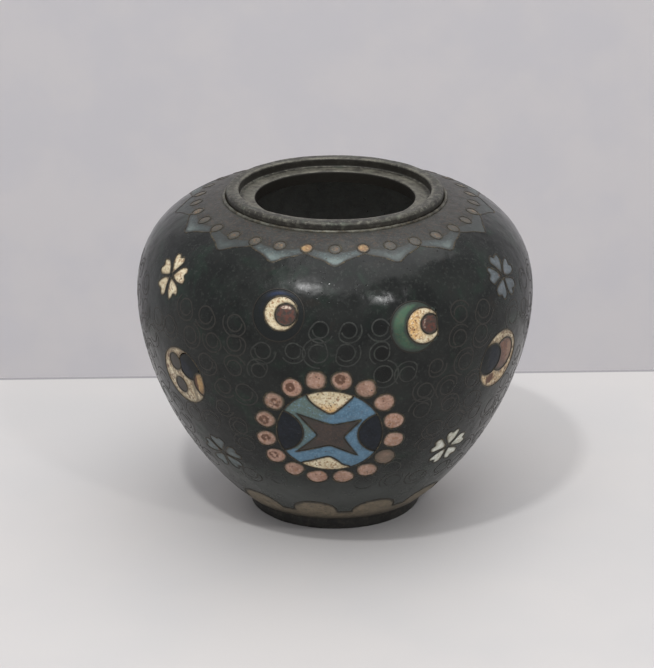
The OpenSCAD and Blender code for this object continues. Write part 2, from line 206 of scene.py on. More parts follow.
def bent(start, middle, end, weight=1.0, steps=20):
    """A conic from start towards end that passes through the middle point; end itself is left out.
    A larger weight keeps the sides straighter and the turn in the middle tighter."""
    start, middle, end = np.array(start, float), np.array(middle, float), np.array(end, float)
    pull = (middle * (2 + 2 * weight) - start - end) / (2 * weight)
    t = (np.arange(steps) / steps)[:, None]
    share = (1 - t) ** 2 + 2 * weight * t * (1 - t) + t**2
    return ((1 - t) ** 2 * start + 2 * weight * t * (1 - t) * pull + t**2 * end) / share


def turned(loop, angle):
    c, s = math.cos(math.radians(angle)), math.sin(math.radians(angle))
    return loop @ np.array([[c, s], [-s, c]])


def grown(loop, amount):
    """A closed loop moved outwards by an amount, or inwards if it is negative."""
    before, after = np.roll(loop, 1, 0), np.roll(loop, -1, 0)
    area = np.sum(loop[:, 0] * after[:, 1] - after[:, 0] * loop[:, 1])
    d1, d2 = loop - before, after - loop
    d1 = d1 / np.maximum(np.linalg.norm(d1, axis=1), 1e-9)[:, None]
    d2 = d2 / np.maximum(np.linalg.norm(d2, axis=1), 1e-9)[:, None]
    side = d1 + d2
    side = side / np.maximum(np.linalg.norm(side, axis=1), 1e-6)[:, None]
    outward = np.stack([side[:, 1], -side[:, 0]], -1) * np.sign(area)
    miter = 1 / np.clip(np.abs(np.sum(side * d1, 1)), 0.5, 1)
    return loop + outward * (amount * miter)[:, None]


def within(points, loop):
    """Which of the points lie inside a closed loop."""
    result = np.zeros(len(points), bool)
    x, y = points[:, 0], points[:, 1]
    for (x1, y1), (x2, y2) in zip(loop, np.roll(loop, -1, 0)):
        if y1 == y2:
            continue
        crosses = (y1 > y) != (y2 > y)
        result ^= crosses & (x < (x2 - x1) * (y - y1) / (y2 - y1) + x1)
    return result


def keep_inside(loop):
    """A test for points inside a closed loop."""
    return lambda points: within(points, loop)


# ---- Meshes ----


def tessellate(loops, inside, spacing):
    """Points and triangles over the part of the plane that inside() accepts, and how far each point is
    from the nearest loop."""
    rim, edges = [], []
    for loop in loops:
        first = len(rim)
        rim += [tuple(p) for p in loop]
        count = len(loop)
        shut = np.hypot(*(np.array(loop[0]) - loop[-1])) < 3 * np.hypot(*(np.array(loop[0]) - loop[1]))
        edges += [(first + i, first + (i + 1) % count) for i in range(count if shut else count - 1)]
    tree = kdtree.KDTree(len(rim))
    for i, p in enumerate(rim):
        tree.insert((p[0], p[1], 0), i)
    tree.balance()
    low, high = np.min(rim, 0), np.max(rim, 0)
    rows = np.arange(low[1], high[1], spacing * 0.866)
    grid = np.array(
        [
            (x + (k % 2) * spacing / 2, y)
            for k, y in enumerate(rows)
            for x in np.arange(low[0], high[0], spacing)
        ]
    ).reshape(-1, 2)
    grid = grid[inside(grid)]
    free = [p for p in grid if tree.find((p[0], p[1], 0))[2] > spacing * 0.55]
    points = [Vector(p) for p in rim] + [Vector(p) for p in free]
    found = delaunay_2d_cdt(points, edges, [], 0, 1e-5)
    verts = np.array([tuple(v) for v in found[0]])
    faces = np.array([f for f in found[2] if len(f) == 3])
    faces = faces[inside(verts[faces].mean(1))]
    used, faces = np.unique(faces, return_inverse=True)
    faces = faces.reshape(-1, 3)
    verts = verts[used]
    gap = np.array([tree.find((p[0], p[1], 0))[2] for p in verts])
    return verts, faces, gap


def open_edges(faces):
    """The directed edges that only one face has."""
    edges = {}
    for face in faces:
        for i in range(3):
            a, b = int(face[i]), int(face[(i + 1) % 3])
            if (b, a) in edges:
                del edges[(b, a)]
            else:
                edges[(a, b)] = True
    return list(edges)


def ring_faces(count, size, closed=True):
    """The faces between neighbouring rings of points, for a count of rings of one size."""
    faces = []
    for i in range(count if closed else count - 1):
        j = (i + 1) % count
        for k in range(size):
            after = (k + 1) % size
            faces.append((i * size + k, i * size + after, j * size + after, j * size + k))
    return faces


def flat(value):
    """A field that is the same everywhere."""
    return lambda x, y: np.full(len(x), float(value))


def bumps(size, amount, seed=0.0):
    """A gentle unevenness of the surface, in millimetres."""

    def field(points):
        return np.array([amount * noise.noise(Vector(p) / size + Vector((seed, 0, 0))) for p in points])

    return field


# How much grime gathers at a cell's edge, and over what width
EDGE_GRIME = 0.85
EDGE_WIDTH = 0.27
CROWN_WIDTH = 0.6
WEAR_DEPTH = 0.12
AT_RIM = 1e-3
SHARP_ANGLE = 38


class Piece:
    """A mesh that is put together from slabs, wires and turned shapes."""

    def __init__(self):
        self.points, self.faces, self.count = [], [], 0
        self.paint = {"tone": [], "wear": [], "grime": []}

    def add(self, points, faces, **paint):
        self.points.append(points)
        for key, values in self.paint.items():
            values.append(paint.get(key, np.zeros(len(points))))
        self.faces += [tuple(int(i) + self.count for i in face) for face in faces]
        self.count += len(points)

    def slab(
        self, to_wall, loops, inside, spacing=0.5, tone=flat(0), wear=flat(0), grime=flat(0),
        crown=0.05, sink=0.03, uneven=0.03, seam=False,
    ):
        """A closed fill of enamel: sunk a little at the wires, and a little higher in its middle.
        One with a seam covers half of the vase, and joins the other half without walls between them."""
        xy, faces, gap = tessellate(loops, inside, spacing)
        n = len(xy)
        x, y = xy.T
        at_seam = seam & (np.abs(x) > SEAM_X)
        free = (gap > AT_RIM) | at_seam
        base = to_wall(xy, np.zeros(n))
        worn = wear(x, y)
        rise = crown * (1 - np.exp(-gap / CROWN_WIDTH)) - sink
        rise = rise + np.where(free, bumps(1.7, uneven)(base), 0) - WEAR_DEPTH * worn * free
        sides = [(b, a, a + n, b + n) for a, b in open_edges(faces) if not (at_seam[a] and at_seam[b])]
        soil = grime(x, y) + EDGE_GRIME * np.exp(-gap / EDGE_WIDTH) * ~at_seam
        self.add(
            np.vstack([to_wall(xy, rise), to_wall(xy, np.full(n, -ENAMEL_T))]),
            [tuple(f) for f in faces] + [tuple(f[::-1] + n) for f in faces] + sides,
            tone=np.tile(tone(x, y), 2), wear=np.tile(worn, 2), grime=np.tile(soil, 2),
        )

    def cell(self, to_wall, loop, spacing, **look):
        """A fill of enamel inside one closed loop."""
        self.slab(to_wall, [loop], keep_inside(loop), spacing, **look)

    def wire(self, to_wall, line, closed=True, width=WIRE_T, proud=WIRE_PROUD, sink=ENAMEL_T, grime=0.0):
        """A thin strip of wire on edge along a line, its top a little rounded."""
        half = width / 2
        section = [
            (-half, -sink), (-half, 0.4 * proud), (-0.5 * half, proud),
            (0.5 * half, proud), (half, 0.4 * proud), (half, -sink),
        ]
        if closed:
            along = np.roll(line, -1, 0) - np.roll(line, 1, 0)
        else:
            along = np.gradient(line, axis=0)
        along = along / np.maximum(np.linalg.norm(along, axis=1), 1e-9)[:, None]
        across = np.stack([-along[:, 1], along[:, 0]], -1)
        rings = [to_wall(line + a * across, np.full(len(line), h)) for a, h in section]
        n, m = len(line), len(section)
        points = np.stack(rings, 1).reshape(-1, 3)
        faces = ring_faces(n, m, closed)
        if not closed:
            faces.append(tuple(range(m))[::-1])
            faces.append(tuple((n - 1) * m + k for k in range(m)))
        self.add(points, faces, grime=np.full(len(points), grime))

    def turned(self, outline, steps=256, uneven=0.0, size=6.0, tone=flat(0), grime=flat(0)):
        """A closed outline of radius and height, turned about the axis. Tone and grime depend on the two."""
        outline = np.asarray(outline, float)
        angle = np.linspace(0, 2 * math.pi, steps, endpoint=False)
        r, z = outline[:, 0], outline[:, 1]
        points = np.stack(
            [np.outer(np.sin(angle), r), -np.outer(np.cos(angle), r), np.outer(np.ones(steps), z)], -1
        ).reshape(-1, 3)
        if uneven:
            out = points / np.maximum(np.linalg.norm(points, axis=1), 1e-9)[:, None]
            points = points + out * bumps(size, uneven)(points)[:, None]
        faces = ring_faces(steps, len(outline))
        self.add(points, faces, tone=np.tile(tone(r, z), steps), grime=np.tile(grime(r, z), steps))

    def place(self, name, slot_name, *nodes):
        """Makes the object, gives it its slot's material, and puts it in the CAD nodes' stead."""
        mesh = bpy.data.meshes.new(name)
        mesh.from_pydata(np.vstack(self.points) * MM, [], self.faces)
        for key, values in self.paint.items():
            attribute = mesh.attributes.new(key, "FLOAT", "POINT")
            attribute.data.foreach_set("value", np.concatenate(values).astype(np.float32))
        face_way_out(mesh)
        mesh.polygons.foreach_set("use_smooth", [True] * len(mesh.polygons))
        mesh.set_sharp_from_angle(angle=math.radians(SHARP_ANGLE))
        mesh.materials.append(MATERIALS[slot_name])
        piece = bpy.data.objects.new(name, mesh)
        bpy.context.scene.collection.objects.link(piece)
        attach(piece, "root")
        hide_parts(*nodes)


def face_way_out(mesh):
    """Joins points that coincide and turns every face outwards."""
    work = bmesh.new()
    work.from_mesh(mesh)
    bmesh.ops.remove_doubles(work, verts=work.verts, dist=0.002 * MM)
    bmesh.ops.recalc_face_normals(work, faces=work.faces)
    work.to_mesh(mesh)
    work.free()


# ---- Materials ----


def srgb(red, green, blue):
    """A colour from its 0-255 screen values."""

    def linear(v):
        v /= 255
        return v / 12.92 if v <= 0.04045 else ((v + 0.055) / 1.055) ** 2.4

    return (linear(red), linear(green), linear(blue), 1)


class Shader:
    """A material's node tree, with short names for the nodes that the finishes use."""

    def __init__(self, name):
        self.material = bpy.data.materials.new(name)
        self.material.use_nodes = True
        self.tree = self.material.node_tree
        self.tree.nodes.clear()
        self.where = self.add("ShaderNodeTexCoord").outputs["Object"]

    def add(self, kind, inputs=None, **settings):
        node = self.tree.nodes.new(kind)
        for key, value in settings.items():
            setattr(node, key, value)
        for key, value in (inputs or {}).items():
            if isinstance(value, bpy.types.NodeSocket):
                self.tree.links.new(value, node.inputs[key])
            else:
                node.inputs[key].default_value = value
        return node

    def noise(self, size, detail=4.0, rough=0.55, warp=0.0):
        """Cloudy noise with features of a size in millimetres."""
        return self.add(
            "ShaderNodeTexNoise",
            {
                "Vector": self.where, "Scale": 1 / (size * MM), "Detail": detail, "Roughness": rough,
                "Distortion": warp,
            },
        ).outputs["Fac"]

    def spots(self, size):
        """Distance from scattered points, a size in millimetres apart."""
        return self.add(
            "ShaderNodeTexVoronoi", {"Vector": self.where, "Scale": 1 / (size * MM)}
        ).outputs["Distance"]

    def attribute(self, name):
        return self.add("ShaderNodeAttribute", attribute_name=name).outputs["Fac"]

    def ramp(self, value, low, high):
        """Maps low..high to 0..1 smoothly; high may be below low."""
        return self.add(
            "ShaderNodeMapRange",
            {"Value": value, "From Min": low, "From Max": high, "To Min": 0.0, "To Max": 1.0},
            interpolation_type="SMOOTHSTEP",
        ).outputs["Result"]

    def between(self, value, low, high):
        """Maps 0..1 to low..high."""
        inputs = {"Value": value, "To Min": low, "To Max": high}
        return self.add("ShaderNodeMapRange", inputs).outputs["Result"]

    def math(self, operation, a, b):
        return self.add("ShaderNodeMath", {0: a, 1: b}, operation=operation, use_clamp=True).outputs[0]

    def times(self, a, b):
        return self.math("MULTIPLY", a, b)

    def plus(self, a, b):
        return self.math("ADD", a, b)

    def mix(self, factor, a, b):
        node = self.add("ShaderNodeMix", data_type="RGBA")
        for key, value in (("Factor", factor), ("A", a), ("B", b)):
            kind = "VALUE" if key == "Factor" else "RGBA"
            socket = [s for s in node.inputs if s.name == key and s.type == kind][0]
            if isinstance(value, bpy.types.NodeSocket):
                self.tree.links.new(value, socket)
            else:
                socket.default_value = value
        return [s for s in node.outputs if s.type == "RGBA"][0]

    def tint(self, colour, mask, shade, amount=1.0):
        """The colour, turned towards a shade where the mask is 1."""
        return self.mix(self.times(mask, amount), colour, srgb(*shade))

    def patches(self, name, noise, spread, low, high):
        """A mask where the mesh has a painted attribute, broken up by noise."""
        return self.ramp(self.plus(self.attribute(name), self.between(noise, -spread, spread)), low, high)

    def height(self, layers):
        """A bump normal from pairs of a height field and its depth in millimetres."""
        normal = None
        for field, depth in layers:
            inputs = {"Height": field, "Strength": 1.0, "Distance": depth * MM}
            if normal is not None:
                inputs["Normal"] = normal
            normal = self.add("ShaderNodeBump", inputs).outputs["Normal"]
        return normal

    def finish(self, colour, roughness, normal, metallic=0.0, specular=0.5):
        shader = self.add(
            "ShaderNodeBsdfPrincipled",
            {
                "Base Color": colour, "Roughness": roughness, "Normal": normal, "Metallic": metallic,
                "Specular IOR Level": specular,
            },
        )
        out = self.add("ShaderNodeOutputMaterial")
        self.tree.links.new(shader.outputs[0], out.inputs["Surface"])
        return self.material


def enamel(
    name, base, dark, light, toned, burst=(92, 60, 42), pits=(62, 50, 38), fleck=(140, 98, 62),
    soil=(58, 56, 50), pitting=0.5, specks=0.08, gloss=0.36, specular=0.5,
):
    """Old fired enamel: clouded, grainy, pitted and specked with brown, with dark burst bubbles where wear is
    painted, another colour where tone is, and soil where grime is."""
    s = Shader(name)
    cloud = s.ramp(s.noise(2.6, 5, 0.6, 0.6), 0.34, 0.68)
    colour = s.mix(cloud, srgb(*dark), srgb(*base))
    if toned:
        colour = s.tint(colour, s.patches("tone", s.noise(1.1, 3), 0.22, 0.12, 0.88), toned)
    grain = s.noise(0.45, 3, 0.7)
    colour = s.tint(colour, s.ramp(grain, 0.5, 0.74), light)
    brown = s.times(s.ramp(s.noise(0.62, 3, 0.7), 0.5, 0.6), s.ramp(s.noise(1.9, 3), 0.25, 0.55))
    colour = s.tint(colour, brown, fleck, specks)
    pitted = s.ramp(s.noise(1.8, 2), 0.7 - 0.25 * pitting, 0.78 - 0.2 * pitting)
    pit = s.times(s.ramp(s.spots(0.75), 0.34, 0.14), pitted)
    colour = s.tint(colour, pit, pits, 0.8)
    burnt = s.patches("wear", s.noise(0.8, 4, 0.7), 0.75, 0.3, 0.62)
    colour = s.tint(colour, burnt, burst)
    soiled = s.patches("grime", s.noise(1.5, 5, 0.7), 0.35, 0.05, 0.95)
    colour = s.tint(colour, soiled, soil, 0.9)
    rough = s.between(s.plus(s.noise(1.3, 4), s.times(burnt, 0.4)), gloss - 0.08, gloss + 0.22)
    normal = s.height([(s.noise(1.4, 3), 0.05), (grain, 0.03), (s.math("SUBTRACT", 1.0, pit), 0.06)])
    return s.finish(colour, rough, normal, specular=specular)


def black_enamel(name):
    """The ground: satin near-black enamel, clouded green, grey and rust, blacker where tone is painted,
    paler near the foot as a painted reflection of the pale table, with flecks and pits."""
    s = Shader(name)
    cloud = s.ramp(s.noise(14, 5, 0.6, 0.8), 0.32, 0.66)
    colour = s.mix(cloud, srgb(20, 22, 21), srgb(33, 35, 33))
    colour = s.tint(colour, s.ramp(s.noise(7, 4, 0.6, 0.5), 0.5, 0.78), (31, 46, 37), 0.8)
    colour = s.tint(colour, s.ramp(s.noise(5, 4, 0.65), 0.58, 0.8), (50, 41, 35), 0.4)
    colour = s.tint(colour, s.ramp(s.noise(0.8, 4, 0.75), 0.53, 0.68), (60, 63, 59), 0.5)
    deep = s.patches("tone", s.noise(1.6, 4, 0.65), 0.3, 0.2, 0.8)
    colour = s.tint(colour, deep, (11, 12, 11), 0.85)
    pit = s.times(s.ramp(s.spots(1.1), 0.26, 0.12), s.ramp(s.noise(3.2, 2), 0.52, 0.66))
    colour = s.tint(colour, pit, (14, 14, 13), 0.8)
    # Painted reflection: the ground is painted paler towards the foot, standing in for the pale table that the
    # lower belly reflects.
    height = s.add("ShaderNodeSeparateXYZ", {"Vector": s.where}).outputs["Z"]
    low = s.plus(s.ramp(height, 26 * MM, 9 * MM), s.between(s.noise(6, 4, 0.6), -0.4, 0.4))
    colour = s.tint(colour, s.ramp(low, 0.0, 1.0), (66, 69, 66), 0.9)
    rubbed = s.ramp(s.noise(4.5, 5, 0.65), 0.42, 0.72)
    rough = s.between(s.plus(s.times(rubbed, 0.6), s.times(s.noise(0.8, 3), 0.4)), 0.14, 0.34)
    dents, ripple = s.noise(4.5, 2, 0.4), s.noise(1.6, 2, 0.5)
    normal = s.height([(dents, 0.16), (ripple, 0.035), (s.math("SUBTRACT", 1.0, pit), 0.04)])
    return s.finish(colour, rough, normal, specular=0.22)


def old_metal(name, base, dark, bright, rough, metallic, green, rubbed_and_glint=(122, 126, 114)):
    """Tarnished metal: browned in patches, greenish in others, paler where tone is painted and darker where
    grime is. On the collar the paler tone is painted light with rubbed wear, and the grime is painted shade."""
    s = Shader(name)
    cloud = s.ramp(s.noise(3.5, 5, 0.7, 0.5), 0.36, 0.64)
    colour = s.mix(cloud, srgb(*dark), srgb(*base))
    colour = s.tint(colour, s.ramp(s.noise(1.1, 5, 0.8), 0.5, 0.6), bright, 0.7)
    colour = s.tint(colour, s.ramp(s.noise(2.1, 4, 0.6), 0.52, 0.74), (82, 96, 82), green)
    # Paler where tone is painted: rubbed wear, and on the collar painted light.
    colour = s.tint(colour, s.patches("tone", s.noise(3, 5, 0.75), 0.75, 0.2, 0.9), rubbed_and_glint)
    # Darker where grime is painted: dirt, and on the collar painted shade.
    colour = s.tint(colour, s.patches("grime", s.noise(1.6, 5, 0.75), 0.5, 0.1, 0.9), (38, 35, 30))
    roughness = s.between(s.noise(0.9, 4), *rough)
    normal = s.height([(s.noise(2.2, 3), 0.06), (s.noise(0.35, 3), 0.02)])
    return s.finish(colour, roughness, normal, metallic=metallic)


# Base, dark and bright colour, span of roughness, metallic, share of green, and the colour where it is rubbed,
# which on the collar is painted light too
METALS = {
    "copper": ((128, 82, 58), (84, 54, 40), (160, 108, 78), (0.35, 0.6), 0.95, 0.3),
    "foot_metal": ((46, 45, 42), (34, 33, 31), (64, 60, 54), (0.4, 0.65), 0.4, 0.1),
    "collar_metal": ((68, 66, 58), (38, 35, 31), (110, 108, 97), (0.36, 0.62), 0.35, 0.3, (116, 113, 101)),
    "brass_wire": ((52, 46, 36), (32, 29, 24), (88, 78, 56), (0.34, 0.58), 0.45, 0.2, (112, 112, 102)),
    "scroll_wire": ((42, 44, 41), (30, 32, 29), (60, 62, 57), (0.4, 0.6), 0.2, 0.2),
}

# Base, dark and light colour, the colour where tone is painted, and what else differs from plain enamel
ENAMELS = {
    "lining": ((150, 150, 147), (132, 133, 130), (160, 160, 156), None, {"gloss": 0.55, "specks": 0.1}),
    # On the foot band this toned colour is partly painted light, paler towards the band's top.
    "taupe": (
        (53, 53, 50), (40, 40, 38), (69, 70, 66), (144, 131, 110),
        {"soil": (46, 45, 38), "specks": 0.1, "specular": 0.3},
    ),
    "slate": ((66, 80, 80), (46, 54, 54), (100, 114, 111), (110, 124, 121), {"soil": (42, 44, 42)}),
    "gold": ((162, 130, 84), (104, 80, 52), (190, 162, 114), (72, 73, 66), {"pitting": 0.7, "specks": 0.8}),
    "pink": (
        (182, 146, 128), (150, 114, 98), (204, 176, 158), (150, 136, 122),
        {"soil": (82, 72, 58), "pitting": 0.95, "specks": 0.7},
    ),
    "blue": ((86, 122, 146), (68, 102, 124), (112, 148, 170), (84, 104, 98), {"soil": (48, 58, 58)}),
    "brown": (
        (57, 46, 40), (45, 37, 33), (72, 59, 52), (206, 186, 168),
        {"burst": (88, 48, 36), "soil": (50, 47, 41), "pitting": 0.3},
    ),
    "cream": (
        (222, 210, 178), (196, 180, 144), (236, 228, 204), (212, 172, 112),
        {"soil": (112, 100, 80), "pitting": 1.05, "specks": 0.8},
    ),
    "navy": (
        (28, 32, 39), (21, 25, 30), (38, 44, 54), (42, 55, 84),
        {"soil": (25, 28, 27), "pitting": 0.2, "specks": 0.0, "specular": 0.2},
    ),
    "green": ((46, 76, 56), (35, 58, 44), (64, 92, 70), (64, 94, 72), {"soil": (36, 44, 38), "pitting": 0.2}),
    "grey": ((96, 104, 110), (72, 80, 84), (120, 128, 132), (72, 78, 80), {"soil": (54, 58, 56)}),
    "pale_blue": ((92, 104, 106), (68, 79, 80), (116, 128, 128), (66, 74, 72), {"soil": (54, 58, 54)}),
    "white": (
        (226, 228, 218), (192, 194, 180), (240, 241, 234), (186, 182, 154),
        {"soil": (96, 94, 78), "specks": 0.4},
    ),
    "rust": (
        (106, 66, 53), (78, 50, 42), (150, 114, 92), (140, 112, 88), {"soil": (58, 50, 42), "specks": 0.5},
    ),
}


def make_materials():
    made = {name: old_metal(name, *look) for name, look in METALS.items()}
    made["black_enamel"] = black_enamel("black_enamel")
    for colour, (*shades, rest) in ENAMELS.items():
        name = f"{colour}_enamel"
        made[name] = enamel(name, *shades, **rest)
    return made


MATERIALS = make_materials()


# ---- Metal ----

MOUTH_R = 17.7
SEAT_R = 21.3
COLLAR_R = 24.2
RIM_Z = top_of("mouth_collar")
LEDGE_Z = RIM_Z - 2.0
SKIRT_H = 2.6
SKIRT_T = 1.2
FOOT_R = radius_of("foot_ring")
FOOT_BORE_R = 17.3


def arc(centre, r, start, end, steps):
    """Points along an arc, its ends given in degrees."""
    angle = np.radians(np.linspace(start, end, steps + 1))
    return np.stack([centre[0] + r * np.cos(angle), centre[1] + r * np.sin(angle)], -1)


def inner_wall(z):
    """Radius and height of the enamel's inner face where its outer face is at a height."""
    s = slope_at(z)
    return (
        float(at_slope("r", s) - ENAMEL_T * at_slope("nr", s)),
        float(at_slope("z", s) - ENAMEL_T * at_slope("nz", s)),
    )


def mouth_collar():
    """The collar: a flange on the enamel, a rounded rim, a ledge for a lid, and a skirt down into the mouth."""
    flange_z = inner_wall(WALL_TOP_Z)[1]
    outline = np.vstack([
        [[MOUTH_R, LEDGE_Z - SKIRT_H], [MOUTH_R + SKIRT_T, LEDGE_Z - SKIRT_H]],
        [[MOUTH_R + SKIRT_T, flange_z], [COLLAR_R - 0.1, flange_z], [COLLAR_R - 0.1, flange_z + 0.4]],
        [[COLLAR_R - 0.12, LEDGE_Z + 0.3], [COLLAR_R - 0.16, LEDGE_Z + 0.7]],
        arc((COLLAR_R - 0.95, RIM_Z - 0.8), 0.8, 0, 90, 8),
        [[(COLLAR_R + SEAT_R) / 2, RIM_Z - 0.03]],
        arc((SEAT_R + 0.5, RIM_Z - 0.5), 0.5, 90, 180, 6),
        [[SEAT_R, LEDGE_Z + 1.0], [SEAT_R, LEDGE_Z + 0.5]],
        arc((SEAT_R - 0.3, LEDGE_Z + 0.3), 0.3, 0, -90, 4),
        [[SEAT_R - 1.2, LEDGE_Z], [MOUTH_R + 1.2, LEDGE_Z]],
        arc((MOUTH_R + 0.35, LEDGE_Z - 0.35), 0.35, 90, 180, 4),
        [[MOUTH_R, LEDGE_Z - 0.6], [MOUTH_R, LEDGE_Z - 1.2]],
    ])

    # Painted shade: darker in the throat below the ledge and on the seat's upright wall, recesses the lamps
    # hardly reach, and on the outer side below the rounded rim.
    def painted_shade(r, z):
        throat = 2.0 * (z < LEDGE_Z - 0.2) * (r < MOUTH_R + 0.3)
        seat = 0.75 * (abs(r - SEAT_R) < 0.35) * (z > LEDGE_Z + 0.1) * (z < RIM_Z - 0.3)
        side = 0.6 * (r > COLLAR_R - 0.4) * (z < RIM_Z - 0.6)
        return throat + seat + side

    # Painted light with rubbed wear: the ledge and the inner edge of the rim are painted paler, as glints on
    # faces that turn up to the lamps.
    def rubbed(r, z):
        ledge = 0.5 * (z > LEDGE_Z - 0.1) * (z < LEDGE_Z + 0.1) * (r < SEAT_R - 0.6)
        edge = 0.5 * (z > RIM_Z - 0.25) * (r < SEAT_R + 0.6)
        return ledge + edge

    piece = Piece()
    # The collar's grime is painted shade, and its tone is painted light with rubbed wear.
    piece.turned(outline, steps=288, uneven=0.07, size=5, tone=rubbed, grime=painted_shade)
    piece.place("collar_turned", "collar_metal", "mouth_collar")


def collar_wire():
    """A round, uneven wire soldered where the collar meets the enamel."""
    centre = (float(wall_r(np.array(WALL_TOP_Z))) - 0.42, WALL_TOP_Z + 0.02)
    piece = Piece()
    piece.turned(arc(centre, 0.4, 0, 345, 11), steps=360, uneven=0.1, size=1.6, tone=flat(0.46))
    piece.place("collar_wire_round", "brass_wire", "collar_wire")


def foot_ring():
    top = WALL_LOW_Z
    outline = np.vstack([
        arc((FOOT_BORE_R + 0.4, 0.4), 0.4, 180, 270, 5),
        arc((FOOT_R - 0.45, 0.4), 0.4, -90, 0, 5),
        [[FOOT_R - 0.05, 1.6], [FOOT_R - 0.08, top - 0.2], [FOOT_R - 0.3, top], [FOOT_BORE_R, top]],
        [[FOOT_BORE_R, 1.8]],
    ])
    piece = Piece()
    piece.turned(outline, steps=256, uneven=0.06, size=6)
    piece.place("foot_ring_turned", "foot_metal", "foot_ring")


def foot_wire():
    """The wire under the enamel's lower edge. It laps the foot ring, so that no copper shows between them."""
    inner = inner_wall(WALL_LOW_Z)
    outer = float(wall_r(np.array(WALL_LOW_Z)))
    under = WALL_LOW_Z - 0.04
    piece = Piece()
    piece.turned(
        [(FOOT_R - 0.6, under), (outer - 0.05, under), (outer, WALL_LOW_Z + 0.12), (inner[0], inner[1])],
        steps=256,
    )
    piece.place("foot_wire_round", "brass_wire", "foot_wire")


def finish_hidden_parts():
    """The body under the enamel and the two linings keep their CAD shapes."""
    for node, slot_name in (
        ("copper_body", "copper"), ("inner_enamel", "lining_enamel"), ("base_enamel", "lining_enamel"),
    ):
        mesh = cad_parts[node].data
        mesh.materials.clear()
        mesh.materials.append(MATERIALS[slot_name])


# ---- Borders ----

LOBE_COUNT = 16
LOBE_R = 10.0
LOBE_CENTRE = 24.4
LOBE_POINT = 1.3
LOBE_POINT_HALF = 3.2
CRESCENT_T = 2.4
CRESCENT_HALF = 5.7
CRESCENT_INSIDE = 0.1
SHOULDER_BEAD_R = 1.2
SHOULDER_BEAD_RING = 30.8
LAPPET_COUNT = 12
LAPPET_R = 5.2
LAPPET_Z = 6.6
LAPPET_TURN = -10

# Grime over each lobe's crescent, from the front one round towards +X
LOBE_GRIME = np.array([0.2, 0.55, 0.5, 0.95, 0.8, 0.5, 0.9, 0.5, 0.25, 0.6, 0.9, 0.4, 0.85, 0.45, 0.7, 0.3])


def lobed_radius(turn, r):
    """Distance from the axis to the edge of the lobes, seen from above. Each lobe comes to a soft point."""
    pitch = 360 / LOBE_COUNT
    off = (turn + pitch / 2) % pitch - pitch / 2
    point = LOBE_POINT * (np.exp(-((off / LOBE_POINT_HALF) ** 2)) - 0.35)
    off = np.radians(off)
    return LOBE_CENTRE * np.cos(off) + np.sqrt(r**2 - (LOBE_CENTRE * np.sin(off)) ** 2) + point


def lobed_slope(turn, r):
    return slope_at_radius(lobed_radius(turn, r))


def lappet_slope(turn, r):
    """Slope of the foot border's wavy edge."""
    pitch = 360 / LAPPET_COUNT
    s0 = slope_at(LAPPET_Z)
    off = np.radians((turn - LAPPET_TURN + pitch / 2) % pitch - pitch / 2)
    side = off * at_slope("r", s0 + r / 2)
    return s0 + (r - LAPPET_R) + np.sqrt(np.maximum(LAPPET_R**2 - side**2, 0.0))


def seen_from_above():
    """Maps the plan view of the shoulder to the wall."""

    def to_wall(xy, rise):
        s = slope_at_radius(np.hypot(xy[:, 0], xy[:, 1]))
        return wall_point(np.degrees(np.arctan2(xy[:, 0], -xy[:, 1])), s, rise)

    return to_wall


def lobed_loop(r, step=0.5):
    turn = np.arange(0, 360, step)
    angle = np.radians(turn)
    radius = lobed_radius(turn, r)
    return np.stack([radius * np.sin(angle), -radius * np.cos(angle)], -1)


def lobe_frame(points, k):
    """Points of the plan view, with lobe k turned to the front: sideways, and outwards from its centre."""
    x, y = turned(points, -360 / LOBE_COUNT * k).T
    return x, -y - LOBE_CENTRE


def lobe_crescent_lines(k):
    """The open lines that cut lobe k's crescent out of the band: its inner arc and its two short ends."""
    r = LOBE_R - CRESCENT_INSIDE
    angle = np.arcsin(np.linspace(-CRESCENT_HALF, CRESCENT_HALF, 40) / r)
    inner = np.stack([r * np.sin(angle), CRESCENT_T - LOBE_CENTRE - r * np.cos(angle)], -1)
    lines = [inner]
    for x in (-CRESCENT_HALF, CRESCENT_HALF):
        out = math.sqrt(LOBE_R**2 - x**2)
        back = math.sqrt(r**2 - x**2) - CRESCENT_T
        lines.append(resample([[x, -LOBE_CENTRE - back], [x, -LOBE_CENTRE - out]], 0.3, closed=False))
    return [turned(line, 360 / LOBE_COUNT * k) for line in lines]


def in_lobe_crescent(points, k):
    x, out = lobe_frame(points, k)
    far = np.hypot(x, out + CRESCENT_T) > LOBE_R - CRESCENT_INSIDE
    return far & (np.abs(x) < CRESCENT_HALF) & (out > 0)


def shoulder_bead(k, r):
    angle = math.radians(180 / LOBE_COUNT * k)
    centre = (SHOULDER_BEAD_RING * math.sin(angle), -SHOULDER_BEAD_RING * math.cos(angle))
    return circle(r, centre, 0.25)


def plan_turn(points):
    """The turn round the axis of points of the plan view."""
    return np.degrees(np.arctan2(points[:, 0], -points[:, 1]))


def in_any_bead(points):
    pitch = 180 / LOBE_COUNT
    off = np.radians((plan_turn(points) + pitch / 2) % pitch - pitch / 2)
    radius = np.hypot(points[:, 0], points[:, 1])
    gap = np.hypot(radius * np.cos(off) - SHOULDER_BEAD_RING, radius * np.sin(off))
    return gap <= SHOULDER_BEAD_R + WIRE_T


def in_any_crescent(points):
    result = np.zeros(len(points), bool)
    for k in range(LOBE_COUNT):
        result |= in_lobe_crescent(points, k)
    return result


